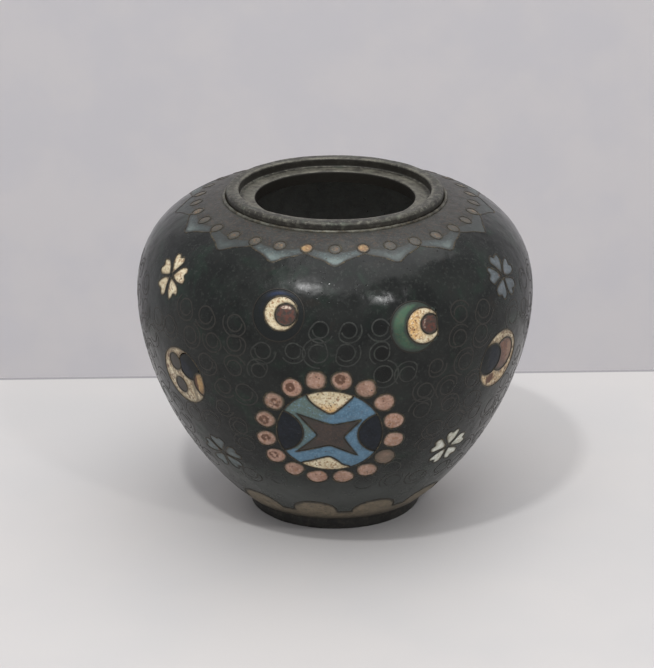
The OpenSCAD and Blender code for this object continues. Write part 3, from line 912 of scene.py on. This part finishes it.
def shoulder_border():
    """The brown-grey enamel, with a slate crescent in each lobe, and a bead in each lobe and valley."""
    to_wall = seen_from_above()
    neck = circle(float(wall_r(np.array(WALL_TOP_Z))) + 0.02, step=0.4)
    loops = [lobed_loop(LOBE_R), neck]
    loops += [shoulder_bead(k, SHOULDER_BEAD_R + WIRE_T) for k in range(2 * LOBE_COUNT)]
    for k in range(LOBE_COUNT):
        loops += lobe_crescent_lines(k)

    def in_band(points):
        radius = np.hypot(points[:, 0], points[:, 1])
        within_edges = (radius < lobed_radius(plan_turn(points), LOBE_R)) & (radius > math.hypot(*neck[0]))
        return within_edges & ~in_any_bead(points)

    def faded(x, y):
        lobe = np.round(np.degrees(np.arctan2(x, -y)) / 360 * LOBE_COUNT).astype(int) % LOBE_COUNT
        return LOBE_GRIME[lobe]

    band, slate, wires = (Piece() for _ in range(3))
    band.slab(to_wall, loops, lambda p: in_band(p) & ~in_any_crescent(p), 0.6, tone=flat(0.05), crown=0.02)
    slate.slab(
        to_wall, loops, lambda p: in_band(p) & in_any_crescent(p), 0.5,
        tone=lambda x, y: np.clip((np.hypot(x, y) - 32.4) / 2.4, 0, 1), grime=faded, crown=0.02,
    )
    wires.wire(to_wall, lobed_loop(LOBE_R + HALF_WIRE))
    band.place("shoulder_band", "taupe_enamel", "shoulder_enamel")
    slate.place("shoulder_crescents", "slate_enamel", "shoulder_lobes")
    wires.place("shoulder_wire_lobed", "brass_wire", "shoulder_wire")


def shoulder_beads():
    """Gold enamel in the two beads nearest the front and the back, fading to drab ones round the rest."""
    to_wall = seen_from_above()
    beads, rims = Piece(), Piece()
    golden = {1, LOBE_COUNT - 1}
    for k in range(2 * LOBE_COUNT):
        drab = 0.0 if k % LOBE_COUNT in golden else random.uniform(0.75, 1.0)
        beads.cell(
            to_wall, shoulder_bead(k, SHOULDER_BEAD_R), 0.3, tone=flat(drab), crown=0.12,
            grime=flat(random.uniform(0.3, 0.8) if drab else 0.0), wear=flat(random.uniform(0.0, 0.3)),
        )
        rims.wire(to_wall, shoulder_bead(k, SHOULDER_BEAD_R + HALF_WIRE))
    beads.place("shoulder_bead_fills", "gold_enamel", "shoulder_beads")
    rims.place("shoulder_bead_rims", "brass_wire", "shoulder_bead_wires")


def unrolled_strip(lower, upper, step=0.5):
    """The loop round half of the vase's unrolled wall between two lines of slope against turn."""
    turn = np.arange(-HALF_TURN, HALF_TURN + step / 2, step)
    low = np.stack([turn * PER_DEGREE, lower(turn)], -1)
    high = np.stack([turn * PER_DEGREE, upper(turn)], -1)
    rise = np.linspace(low[-1], high[-1], max(2, int((high[-1, 1] - low[-1, 1]) / 0.8)))[1:-1]
    fall = rise[::-1] * [-1, 1]
    return np.vstack([low, rise, high[::-1], fall])


def foot_border():
    """The brown-grey band above the foot, with a wavy upper edge and its wire."""
    edge = unrolled_strip(lambda t: np.zeros(len(t)), lambda t: lappet_slope(t, LAPPET_R))

    # Partly painted light: besides its own streaks, the band's tone grows towards its top, which faces the
    # lamps more than its lower part does, and dips just under the wavy edge.
    def shade(x, y):
        under_edge = lappet_slope(x / PER_DEGREE, LAPPET_R) - y
        return np.clip(0.35 + y / 9, 0, 1) - 0.5 * np.exp(-((under_edge / 0.9) ** 2))

    band, wires = Piece(), Piece()
    for back in BACKS:
        band.cell(
            unrolled(back), edge, 0.8, seam=True, crown=0.02, tone=shade, grime=flat(0.42), uneven=0.06,
        )
    turn = np.arange(0, 360, 0.5)
    wires.wire(unrolled(), np.stack([turn * PER_DEGREE, lappet_slope(turn, LAPPET_R) + HALF_WIRE], -1))
    band.place("foot_band", "taupe_enamel", "foot_border_enamel")
    wires.place("foot_band_wire", "brass_wire", "foot_border_wire")


# ---- Medallion ----

MEDALLION = (-1.7, 32.2)
DISC_R = 11.4
BEAD_RING_R = 14.35
BEAD_COUNT = 16
BEAD_R = 2.22
STAR = [
    (-6.8, 5.2), (0.6, 2.6), (6.9, 3.8), (3.1, -1.0),
    (5.9, -6.7), (0.0, -3.5), (-7.2, -5.9), (-2.7, -0.5),
]
TOP_CAP = [
    (-5.4, 13.5), (-4.8, 10.3), (-3.8, 8.5), (-1.8, 6.8), (0.4, 5.6),
    (2.5, 7.1), (4.3, 9.0), (5.2, 10.2), (5.6, 13.5),
]
BOTTOM_CAP = [
    (-7, -13), (-6.2, -9.6), (-4.2, -8.6), (-2.0, -7.6), (-0.3, -7.0),
    (1.2, -7.9), (2.8, -9.7), (4.3, -10.5), (5, -13),
]
SIDE_LOBES = [((-11.7, 0), 5.9), ((11.9, -0.5), 5.6)]
GREY_BEAD = 14

# How far some of the beads burst, by their number round the ring from the right
BURSTS = {1: 0.5, 3: 0.85, 5: 0.95, 6: 0.7, 7: 0.8, 8: 0.75, 9: 0.6, 10: 0.45, 13: 0.3}
SLIGHT_BURST = 0.12


def uneven_circle(r, centre):
    """A hand-bent ring: a circle with a few soft lumps."""
    line = circle(1.0, step=0.3 / r)
    angle = np.arctan2(line[:, 1], line[:, 0])

    def lump(n):
        return random.uniform(-0.035, 0.035) * np.cos(n * angle + random.uniform(0, 6))

    swell = 1 + sum(lump(n) for n in (2, 3, 4))
    return np.array(centre) + r * line * swell[:, None]


def medallion_bead_lines():
    lines = []
    for k in range(BEAD_COUNT):
        angle = 2 * math.pi * (k + 0.5) / BEAD_COUNT
        r = BEAD_RING_R + random.uniform(-0.12, 0.12)
        centre = (r * math.cos(angle), r * math.sin(angle))
        lines.append(uneven_circle(BEAD_R + HALF_WIRE, centre))
    return lines


BEAD_LINES = medallion_bead_lines()


def star_line():
    tips, waists = STAR[0::2], STAR[1::2]
    parts = [bent(tips[i], waists[i], tips[(i + 1) % 4], weight=12) for i in range(4)]
    return resample(np.vstack(parts), 0.3)


def crater(centre, r, strength):
    """A ring of burst enamel round a hollow."""

    def field(x, y):
        d = np.hypot(x - centre[0], y - centre[1]) / r
        return strength * np.clip(1.35 - np.abs(d - 0.6) * 2.2, 0, 0.8)

    return field


def medallion_beads():
    """Sixteen pink beads. Several have burst in the firing and show a brown hollow."""
    beads, rims = Piece(), Piece()
    for to_wall in front_and_back(MEDALLION):
        for k, line in enumerate(BEAD_LINES):
            off = (random.uniform(-0.4, 0.4), random.uniform(-0.3, 0.5))
            beads.cell(
                to_wall, grown(line, -HALF_WIRE), 0.35, crown=0.16, uneven=0.05,
                tone=flat(random.choice([0, 0.1, 0.3])),
                wear=crater(line.mean(0) + off, random.uniform(1.0, 1.4), BURSTS.get(k, SLIGHT_BURST)),
                grime=flat(0.7 if k == GREY_BEAD else random.uniform(0.0, 0.3)),
            )
            rims.wire(to_wall, line)
    beads.place("medallion_bead_fills", "pink_enamel", "medallion_beads")
    rims.place("medallion_bead_rims", "brass_wire", "medallion_bead_wires")


def medallion_disc():
    """The blue disc: a brown star, a cream cap above and below, and a navy lobe at each side."""
    disc = circle(DISC_R, step=0.35)
    star = star_line()
    caps = [resample(spline(c, 6), 0.3) for c in (TOP_CAP, BOTTOM_CAP)]
    lobes = [circle(r + HALF_WIRE, centre, 0.3) for centre, r in SIDE_LOBES]
    star_in, star_out = grown(star, -HALF_WIRE), grown(star, HALF_WIRE)
    caps_in, caps_out = [grown(c, -HALF_WIRE) for c in caps], [grown(c, HALF_WIRE) for c in caps]
    lobes_in, lobes_out = [grown(c, -HALF_WIRE) for c in lobes], [grown(c, HALF_WIRE) for c in lobes]

    def in_disc(points):
        return np.hypot(points[:, 0], points[:, 1]) < DISC_R - 0.01

    def in_blue(points):
        result = in_disc(points) & ~within(points, star_out)
        for loop in caps_out + lobes_out:
            result &= ~within(points, loop)
        return result

    def part_of_disc(loop):
        return lambda points: in_disc(points) & within(points, loop)

    blue, brown, cream, navy, ring, star_wire, others = (Piece() for _ in range(7))
    for to_wall in front_and_back(MEDALLION):
        blue.slab(
            to_wall, [disc, star_out] + caps_out + lobes_out, in_blue, 0.4, uneven=0.05,
            tone=lambda x, y: np.clip(0.2 + (-x + 0.5 * y - 1.2) / 7, 0.08, 1) * (y > -5),
        )
        brown.cell(
            to_wall, star_in, 0.4, tone=lambda x, y: 0.1 * (x < -2) * (y > 1),
            grime=lambda x, y: np.clip(0.1 + (abs(x) + abs(y) - 5) / 6, 0, 0.7),
        )
        for loop in caps_in:
            cream.slab(
                to_wall, [disc, loop], part_of_disc(loop), 0.4, uneven=0.06,
                tone=lambda x, y: np.clip((9.2 - y) / 3.5, 0, 1) * (y > 0),
            )
        for loop in lobes_in:
            navy.slab(to_wall, [disc, loop], part_of_disc(loop), 0.4, tone=flat(0.15))
        ring.wire(to_wall, circle(DISC_R + HALF_WIRE))
        star_wire.wire(to_wall, star)
        for loop in caps + lobes:
            others.wire(to_wall, run_where(loop, in_disc), closed=False)
    blue.place("medallion_blue_fill", "blue_enamel", "medallion_blue_field")
    brown.place("medallion_star_fill", "brown_enamel", "medallion_star")
    cream.place("medallion_cap_fills", "cream_enamel", "medallion_caps")
    navy.place("medallion_lobe_fills", "navy_enamel", "medallion_side_lobes")
    ring.place("medallion_ring_strip", "brass_wire", "medallion_ring_wire")
    star_wire.place("medallion_star_strip", "brass_wire", "medallion_star_wire")
    others.place("medallion_cell_strips", "brass_wire", "medallion_cell_wires")


def run_where(loop, test):
    """The longest unbroken stretch of a closed loop on which a test holds, as an open line."""
    good = test(loop)
    if good.all():
        return loop
    first = int(np.argmin(good))
    loop, good = np.roll(loop, -first, 0), np.roll(good, -first)
    best, start = (0, 0), None
    for i, ok in enumerate(list(good) + [False]):
        if ok and start is None:
            start = i
        if not ok and start is not None:
            if i - start > best[1] - best[0]:
                best = (start, i)
            start = None
    return loop[best[0]:best[1]]


# ---- Crescent roundels ----

LEFT_CRESCENT = (-15.6, 59.9)
RIGHT_CRESCENT = (25.6, 56.5)
LEFT_RING = ((0.0, 0.0), 3.6)
RIGHT_RING = ((0.0, 0.0), 3.8)
LEFT_HALO = ((-0.6, -0.4), 5.5)
RIGHT_HALO = ((-2.1, 0.0), 5.4)
LEFT_EYE = ((1.1, -0.1), 2.2)
RIGHT_EYE = ((1.5, 0.2), 2.0)
RIGHT_EDGE = 3.1


def disc_test(shape, grow=0.0):
    """A test for points inside a circle that is given by its centre and radius."""
    (x, y), r = shape
    return lambda p: np.hypot(p[:, 0] - x, p[:, 1] - y) < r + grow


def disc_line(shape, grow=0.0, step=0.3):
    return circle(shape[1] + grow, shape[0], step)


def half_moon(x, y, half_width, height):
    """1 inside a low dome that stands on y = 0, falling to 0 at its edge."""
    inside = 1 - (x / half_width) ** 2 - (np.maximum(y, 0) / height) ** 2
    return np.clip(4 * inside, 0, 1) * (y > -0.12)


def thin_moon(x, y):
    """1 along a thin crescent inside the left edge of the eye."""
    outer = np.hypot(x, y) < 1.7
    inner = np.hypot(x - 0.45, y) < 1.65
    return (outer & ~inner & (x < 0) & (abs(y - 0.2) < 1.0)).astype(float)


def upright_line(x, half):
    """An upright line in a motif's plane, half of it above the middle."""
    return resample([[x, -half], [x, half]], 0.3, closed=False)


def crescent(side, place, ring, eye, halo, halo_slot, soot, looks, edge=None):
    """A cream crescent round a brown eye, on a halo with a sooty wire. Where an edge is given, all of them
    stop short at an upright wire that far to the right."""
    cuts = [] if edge is None else [upright_line(edge, 8.0)]
    on_ring, wired_ring, wide_ring = disc_test(ring), disc_test(ring, WIRE_T), disc_test(ring, 2 * WIRE_T)
    on_eye, wired_eye, on_halo = disc_test(eye), disc_test(eye, WIRE_T), disc_test(halo)

    def kept(points):
        return points[:, 0] < (math.inf if edge is None else edge)

    halo_loops = [disc_line(halo), disc_line(ring, WIRE_T)]
    if cuts:
        halo_loops += [disc_line(ring, 2 * WIRE_T)] + cuts
    cells = [
        ("cream", [disc_line(ring), disc_line(eye, WIRE_T)] + cuts, lambda p: on_ring(p) & ~wired_eye(p), 0.35),
        ("eye", [disc_line(eye)] + cuts, on_eye, 0.22),
        ("halo", halo_loops, lambda p: (on_halo(p) | wide_ring(p)) & ~wired_ring(p), 0.45),
    ]
    fills = {part: Piece() for part, *_ in cells}
    wires = Piece()
    for to_wall in front_and_back(place):
        for part, loops, inside, spacing in cells:
            fills[part].slab(to_wall, loops, lambda p, test=inside: test(p) & kept(p), spacing, **looks[part])
        runs = [(halo, lambda p: kept(p) & ~wired_ring(p), soot), (ring, kept, 0.0), (eye, kept, 0.0)]
        for shape, seen, grime in runs:
            line = run_where(disc_line(shape, HALF_WIRE), seen)
            wires.wire(to_wall, line, closed=edge is None, grime=grime)
        if cuts:
            half = math.sqrt((ring[1] + WIRE_T) ** 2 - edge**2)
            wires.wire(to_wall, upright_line(edge + HALF_WIRE, half), closed=False)
    fills["cream"].place(f"{side}_moon_cream", "cream_enamel", f"{side}_crescent")
    fills["eye"].place(f"{side}_moon_eye", "brown_enamel", f"{side}_crescent_eye")
    fills["halo"].place(f"{side}_moon_halo", halo_slot, f"{side}_crescent_halo")
    wires.place(f"{side}_moon_wires", "brass_wire", f"{side}_crescent_wires")


def left_crescent():
    """The eye has a pale half-moon at its top, and the halo is navy, bluer at its top and sooty at its edge."""
    looks = {
        "cream": {"uneven": 0.06, "tone": lambda x, y: 0.3 * (x > 1.5)},
        "eye": {
            "tone": lambda x, y: half_moon(x - 1.0, y - 1.15, 1.25, 0.62), "wear": flat(0.45), "crown": 0.08,
        },
        "halo": {
            "tone": lambda x, y: np.clip((y - 2.6) / 2.2, 0, 1),
            "grime": lambda x, y: 1.2 * np.clip((np.hypot(x + 0.6, y + 0.4) - 3.4 - 0.25 * y) / 1.5, 0, 1),
        },
    }
    crescent("left", LEFT_CRESCENT, LEFT_RING, LEFT_EYE, LEFT_HALO, "navy_enamel", 1.0, looks)


def right_crescent():
    """The eye has a thin pale line at its left, and the green halo stops short at an upright wire."""
    looks = {
        "cream": {"uneven": 0.06, "tone": lambda x, y: np.clip(0.35 - x / 5, 0, 0.75) * (y > -2.6)},
        "eye": {
            "tone": lambda x, y: 0.5 * thin_moon(x - RIGHT_EYE[0][0], y - RIGHT_EYE[0][1]), "wear": flat(0.45),
        },
        "halo": {
            "tone": lambda x, y: np.clip(0.5 + (y - 0.5) / 5, 0, 1),
            "grime": lambda x, y: 0.8 * np.clip((np.hypot(x + 2.1, y) - 4.2) / 1.2, 0, 1),
        },
    }
    crescent(
        "right", RIGHT_CRESCENT, RIGHT_RING, RIGHT_EYE, RIGHT_HALO, "green_enamel", 0.9, looks, RIGHT_EDGE
    )


# ---- Blossoms ----

BLOSSOM_R = 4.8
PETAL_EDGE = [(0.17, 0.05), (0.44, 0.23), (0.74, 0.36), (0.95, 0.31), (1.02, 0.15)]
PETAL_NOTCH = (0.91, 0.0)
BLOSSOMS = {
    "cream": ((-58, 61.6), "cream_enamel", "cream_blossoms"),
    "grey": ((60, 61.1), "grey_enamel", "grey_blossoms"),
    "blue": ((-43.3, 21.7), "pale_blue_enamel", "blue_blossoms"),
    "white": ((42, 23.7), "white_enamel", "white_blossoms"),
}


def petal_side(edge, sign):
    """One side of a petal, bent by hand a little."""
    return [(x * random.uniform(0.96, 1.04), sign * y * random.uniform(0.95, 1.2)) for x, y in edge]


def petal_lines():
    """Five notched petals, each a little different."""
    lines = []
    for k in range(5):
        corners = petal_side(PETAL_EDGE, 1) + [PETAL_NOTCH] + petal_side(PETAL_EDGE[::-1], -1)
        line = resample(spline(np.array(corners) * (BLOSSOM_R + HALF_WIRE), 5), 0.22)
        lines.append(turned(line, 90 + 72 * k + random.uniform(-3, 3)))
    return lines


PETALS = {name: petal_lines() for name in BLOSSOMS}


def blossoms():
    wires = Piece()
    for name, (place, slot_name, node) in BLOSSOMS.items():
        petals = Piece()
        for to_wall in front_and_back(place):
            for line in PETALS[name]:
                petals.cell(
                    to_wall, grown(line, -HALF_WIRE), 0.3, tone=flat(random.choice([0, 0.1, 0.2, 0.35])),
                    wear=lambda x, y: 0.5 * np.clip(2.2 - np.hypot(x, y), 0, 1),
                    grime=flat(random.uniform(0.0, 0.3)), crown=0.08, uneven=0.06,
                )
                wires.wire(to_wall, line)
            wires.wire(to_wall, circle(0.55, step=0.2), width=0.24)
        petals.place(f"{name}_blossom_petals", slot_name, node)
    wires.place("blossom_outlines", "brass_wire", "blossom_wires")


# ---- Side roundels ----

LEFT_ROUNDEL = (-50, 40.5)
RIGHT_ROUNDEL = (55, 43.4)
ROUNDEL = ((0.0, 0.0), 6.6)
LEFT_EYES = [((-2.1, 2.9), 1.8), ((-1.4, -2.7), 1.7)]
LEFT_NAVY = ((2.7, 3.0), 3.0)
LEFT_GOLD = ((6.6, -0.6), 2.9)
RIGHT_RUST = ((1.4, 0.7), 3.7)
RIGHT_NAVY = ((-3.4, 0.9), 3.5)


def roundel_test(shapes, outside):
    """A test for points in the roundel and all the shapes, and clear of the wires round the outside ones."""

    def test(points):
        result = disc_test(ROUNDEL)(points)
        for shape in shapes:
            result &= disc_test(shape)(points)
        for shape in outside:
            result &= ~disc_test(shape, WIRE_T)(points)
        return result

    return test


def roundel(side, place, cells, covers):
    """A round motif. Each cell has its node, its piece, its slot, the groups of shapes that it fills, the
    shapes that lie over it, and its look. Each shape's wire is broken where another shape covers it."""
    fills, wires = [Piece() for _ in cells], Piece()
    for to_wall in front_and_back(place):
        for fill, (_, _, _, groups, outside, look) in zip(fills, cells):
            for shapes in groups:
                loops = [disc_line(ROUNDEL)] + [disc_line(s) for s in shapes]
                loops += [disc_line(s, WIRE_T) for s in outside]
                fill.slab(to_wall, loops, roundel_test(shapes, outside), 0.4, **look)
        wires.wire(to_wall, disc_line(ROUNDEL, HALF_WIRE))
        for shape, over in covers.items():
            line, seen = disc_line(shape, HALF_WIRE, 0.2), roundel_test([], over)
            wires.wire(to_wall, run_where(line, seen), closed=bool(seen(line).all()))
    for fill, (node, piece, slot_name, *_) in zip(fills, cells):
        fill.place(f"{side}_roundel_{piece}", slot_name, f"{side}_roundel_{node}")
    wires.place(f"{side}_roundel_strips", "brass_wire", f"{side}_roundel_wires")


def left_roundel():
    """Worn cream with two brown eyes, a navy round that fades to its right, and a gold one at the edge."""
    over_navy = LEFT_EYES + [LEFT_GOLD]

    def cream_grime(x, y):
        return 0.2 + 0.1 * (x > -4) + 0.7 * np.clip(1 - np.abs(x - 3.1) / 0.7, 0, 1) * (y < 0.5)

    cells = [
        (
            "cream", "cream_fill", "cream_enamel", [[]], LEFT_EYES + [LEFT_NAVY, LEFT_GOLD],
            {"uneven": 0.06, "grime": cream_grime, "wear": lambda x, y: 0.38 + 0.07 * (y > 0)},
        ),
        ("eyes", "eye_fills", "brown_enamel", [[eye] for eye in LEFT_EYES], [], {"grime": flat(0.6)}),
        (
            "navy", "navy_fill", "navy_enamel", [[LEFT_NAVY]], over_navy,
            {"tone": flat(0.2), "grime": lambda x, y: np.clip((x + y - 4) / 3, 0, 1)},
        ),
        (
            "gold", "gold_fill", "gold_enamel", [[LEFT_GOLD]], [],
            {"wear": lambda x, y: np.clip((5.0 - x) / 0.7, 0, 1)},
        ),
    ]
    covers = {LEFT_EYES[0]: [], LEFT_EYES[1]: [], LEFT_NAVY: over_navy, LEFT_GOLD: []}
    roundel("left", LEFT_ROUNDEL, cells, covers)


def right_roundel():
    """Worn cream with a burst spot, and a rust round that a navy one partly covers."""

    def cream_wear(x, y):
        return 0.42 + 0.5 * np.clip(1.4 - np.hypot(x + 2.4, y + 4.1) / 1.1, 0, 1)

    cells = [
        (
            "cream", "cream_fill", "cream_enamel", [[]], [RIGHT_RUST, RIGHT_NAVY],
            {"uneven": 0.06, "tone": lambda x, y: 0.45 * (y < 0), "grime": flat(0.12), "wear": cream_wear},
        ),
        (
            "rust", "rust_fill", "rust_enamel", [[RIGHT_RUST]], [RIGHT_NAVY],
            {
                "tone": lambda x, y: 0.25 + 0.3 * (x > 3), "wear": flat(0.3),
                "grime": lambda x, y: np.clip(0.1 - y / 5, 0, 0.8),
            },
        ),
        (
            "navy", "navy_fill", "navy_enamel", [[RIGHT_NAVY]], [],
            {"tone": flat(0.1), "grime": lambda x, y: np.clip((-x - 3.0) / 2, 0.1, 1)},
        ),
    ]
    roundel("right", RIGHT_ROUNDEL, cells, {RIGHT_RUST: [RIGHT_NAVY], RIGHT_NAVY: []})


# ---- Ground and scrolls ----

SCROLL_PITCH = 5.3
SCROLL_SPACING = 6.3
SCROLL_ROWS = 9
SCROLL_FIRST_Z = 17.0


def motif_holes():
    """Each opening in the ground: its motif's place, its loops, and a test for the points it covers."""

    def disc_hole(place, shape):
        return place, [disc_line(shape, WIRE_T)], disc_test(shape, WIRE_T)

    def line_hole(place, line):
        edge = grown(line, HALF_WIRE)
        return place, [edge], keep_inside(edge)

    halo, rim = disc_test(RIGHT_HALO, WIRE_T), disc_test(RIGHT_RING, 2 * WIRE_T)
    cut = RIGHT_EDGE + WIRE_T
    loops = [disc_line(RIGHT_HALO, WIRE_T), disc_line(RIGHT_RING, 2 * WIRE_T), upright_line(cut, 8)]
    return (
        [(MEDALLION, [circle(DISC_R + WIRE_T)], disc_test(((0, 0), DISC_R), WIRE_T))]
        + [line_hole(MEDALLION, line) for line in BEAD_LINES]
        + [disc_hole(LEFT_CRESCENT, LEFT_HALO)]
        + [(RIGHT_CRESCENT, loops, lambda p: (halo(p) | rim(p)) & (p[:, 0] < cut))]
        + [line_hole(BLOSSOMS[name][0], line) for name in BLOSSOMS for line in PETALS[name]]
        + [disc_hole(place, ROUNDEL) for place in (LEFT_ROUNDEL, RIGHT_ROUNDEL)]
    )


def into_motif(place, xy):
    """Points of the unrolled wall in a motif's own plane."""
    side = np.radians(xy[:, 0] / PER_DEGREE - place[0]) * at_slope("r", xy[:, 1])
    return np.stack([side, xy[:, 1] - slope_at(place[1])], -1)


def ground():
    """The black ground, with an opening for every cell of the pattern."""
    edge = unrolled_strip(
        lambda t: lappet_slope(t, LAPPET_R) + WIRE_T,
        lambda t: lobed_slope(t, LOBE_R + WIRE_T),
    )
    holes = motif_holes()
    loops = [edge] + [motif_on_unrolled(place, loop) for place, group, _ in holes for loop in group]

    def inside(points):
        result = within(points, edge)
        for place, _, covers in holes:
            result &= ~covers(into_motif(place, points))
        return result

    piece = Piece()
    for back in BACKS:
        piece.slab(
            unrolled(back), loops, inside, 0.85, seam=True, crown=0.0, sink=0.0, uneven=0.05, tone=in_scrolls,
        )
    piece.place("black_ground", "black_enamel", "ground_enamel")


def scroll_line(size, sweep, mirror):
    """A cloud scroll: a ring, and then a step out to a wider arc round it."""
    angle = np.radians(np.linspace(0, sweep, 60))
    step = np.clip((np.degrees(angle) - 330) / 70, 0, 1)
    r = size * (0.93 + 0.1 * np.degrees(angle) / 360 + 0.52 * step**2 * (3 - 2 * step))
    return np.stack([mirror * r * np.cos(angle), r * np.sin(angle)], -1)


# How far from each motif's middle the scrolls keep
CLEARANCES = [
    (MEDALLION, 18.6), (LEFT_ROUNDEL, 8.9), (RIGHT_ROUNDEL, 8.9), (LEFT_CRESCENT, 8.0), (RIGHT_CRESCENT, 8.2),
] + [(place, 7.2) for place, _, _ in BLOSSOMS.values()]


def far_from_motifs(place):
    """Whether a scroll at a place keeps clear of every motif."""
    s = slope_at(place[1])
    for (turn, z), gap in CLEARANCES:
        off = (place[0] - turn + 540) % 360 - 180
        side = math.radians(off) * float(at_slope("r", (s + slope_at(z)) / 2))
        if math.hypot(side, s - slope_at(z)) < gap:
            return False
    return True


def scroll_places():
    """Turn, height and blackness of each scroll on the front, in staggered rows clear of the motifs."""
    places = []
    s0 = slope_at(SCROLL_FIRST_Z)
    for row in range(SCROLL_ROWS):
        s = s0 + SCROLL_PITCH * row
        z = float(at_slope("z", s))
        count = int(math.pi * float(at_slope("r", s)) / SCROLL_SPACING)
        for k in range(count):
            turn = 180 / count * (k + (row % 2) / 2) - HALF_TURN
            place = (turn + random.uniform(-1.0, 1.0), float(at_slope("z", s + random.uniform(-0.5, 0.5))))
            if far_from_motifs(place):
                places.append((*place, random.uniform(0.15, 1.0)))
    return places


SCROLLS = scroll_places()


def scroll_strength(turn):
    """How well a scroll shows: fully on the front, and dimly round the sides."""
    return 1 - 0.7 * min(max((abs(turn) - 12) / 20, 0), 1)


def in_scrolls(x, y):
    """How deep inside a scroll each point of the unrolled wall is, from 0 to 1."""
    deep = np.zeros(len(x))
    for turn, z, black in SCROLLS:
        side = (x - turn * PER_DEGREE) / PER_DEGREE * np.radians(at_slope("r", y))
        near = np.clip(1.35 - np.hypot(side, y - slope_at(z)) / 3.0, 0, 1)
        deep = np.maximum(deep, scroll_strength(turn) * black * near)
    return deep


def scrolls():
    """Cloud scrolls of fine wire that fill the ground between the motifs."""
    wires = Piece()
    for *place, _ in SCROLLS:
        size = random.uniform(1.65, 2.15)
        soot = 1.1 * (1 - scroll_strength(place[0]))
        for to_wall in front_and_back(place):
            line = scroll_line(size, random.uniform(500, 600), random.choice([-1, 1]))
            line = turned(line, random.choice([20, 200]) + random.uniform(-35, 35))
            wires.wire(to_wall, line, closed=False, width=0.34, proud=0.03, sink=0.2, grime=soot)
    wires.place("cloud_scrolls", "scroll_wire", "scroll_wires")


# ---- Studio ----

# Lengths here are in metres
TABLE_EDGE = 0.0744
TABLE_TURN = 2.0
EDGE_W = 0.0013
STAGE_HALF = 1.5
FLOOR_Z = -0.6
WALL_Y = 1.4
WALL_TOP = 1.4
CAMERA_AT = (0.0, -0.6568, 0.2929)
CAMERA_PITCH = 21.1
CAMERA_LENS = 168.4
CAMERA_SHIFT = -8 / 668
SKY = (0.97, 0.97, 1.0, 1)
SKY_STRENGTH = 0.66

# Each lamp's place, the point it aims at, its two sides and its power in watts
LAMPS = {
    "ceiling": ((0.12, -0.02, 1.3), (0.08, 0.0, 0), (2.0, 1.0), 10.0),
    "window": ((-0.18, -0.44, 0.85), (0, -0.04, 0.065), (0.065, 0.04), 2.5),
    "second_window": ((0.365, -0.59, 0.66), (0, -0.04, 0.063), (0.06, 0.045), 0.95),
}


def painted(name, colour, other, rough):
    s = Shader(name)
    tint = s.mix(s.ramp(s.noise(60, 3), 0.35, 0.65), srgb(*colour), srgb(*other))
    return s.finish(tint, rough, s.height([(s.noise(0.8, 3), 0.02)]), specular=0.3)


def sheet_of(name, corners, material):
    mesh = bpy.data.meshes.new(name)
    mesh.from_pydata(corners, [], [tuple(range(len(corners)))])
    mesh.materials.append(material)
    thing = bpy.data.objects.new(name, mesh)
    bpy.context.scene.collection.objects.link(thing)


def table_and_wall():
    """A table that ends behind the vase at a slightly turned edge, with a strip of painted shade along that
    edge, and a wall well behind it.
    """
    table = painted("table_paint", (197, 194, 192), (193, 191, 190), 0.5)
    # Painted shade: a flat dark strip along the table's back edge stands in for the shade where the edge turns
    # down.
    edge = painted("edge_shade_paint", (150, 148, 150), (144, 142, 144), 0.6)
    wall = painted("wall_paint", (238, 235, 236), (233, 231, 234), 0.7)
    slant = STAGE_HALF * math.tan(math.radians(TABLE_TURN))
    ends = ((-STAGE_HALF, TABLE_EDGE - slant), (STAGE_HALF, TABLE_EDGE + slant))
    near, top, brink, low, far, high = (
        [(x, -STAGE_HALF, 0) for x, _ in ends],
        [(x, y - EDGE_W, 0) for x, y in ends],
        [(x, y, 0) for x, y in ends],
        [(x, y, FLOOR_Z) for x, y in ends],
        [(x, WALL_Y, FLOOR_Z) for x, _ in ends],
        [(x, WALL_Y, WALL_TOP) for x, _ in ends],
    )
    sheet_of("table", near + top[::-1], table)
    sheet_of("table_edge_shade", top + brink[::-1], edge)
    sheet_of("table_side", brink[::-1] + low, table)
    sheet_of("floor", low + far[::-1], table)
    sheet_of("wall", far + high[::-1], wall)


def area_light(name, place, aim, size, power):
    data = bpy.data.lights.new(name, "AREA")
    data.shape = "RECTANGLE"
    data.size, data.size_y = size
    data.energy = power
    lamp = bpy.data.objects.new(name, data)
    lamp.location = place
    lamp.rotation_euler = (Vector(aim) - Vector(place)).to_track_quat("-Z", "Y").to_euler()
    bpy.context.scene.collection.objects.link(lamp)


def lights():
    world = bpy.data.worlds.new("studio")
    world.use_nodes = True
    back = world.node_tree.nodes["Background"]
    back.inputs["Color"].default_value = SKY
    back.inputs["Strength"].default_value = SKY_STRENGTH
    bpy.context.scene.world = world
    for name, (place, aim, size, power) in LAMPS.items():
        area_light(name, place, aim, size, power)


def camera():
    data = bpy.data.cameras.new("camera")
    data.lens = CAMERA_LENS
    data.sensor_width = 36
    data.shift_x = CAMERA_SHIFT
    data.clip_start = 0.01
    eye = bpy.data.objects.new("camera", data)
    eye.location = CAMERA_AT
    eye.rotation_euler = (math.radians(90 - CAMERA_PITCH), 0, 0)
    bpy.context.scene.collection.objects.link(eye)
    bpy.context.scene.camera = eye


mouth_collar()
collar_wire()
foot_ring()
foot_wire()
finish_hidden_parts()
shoulder_border()
shoulder_beads()
foot_border()
medallion_beads()
medallion_disc()
left_crescent()
right_crescent()
blossoms()
left_roundel()
right_roundel()
ground()
scrolls()
table_and_wall()
lights()
camera()
bpy.context.scene.view_settings.view_transform = "Standard"
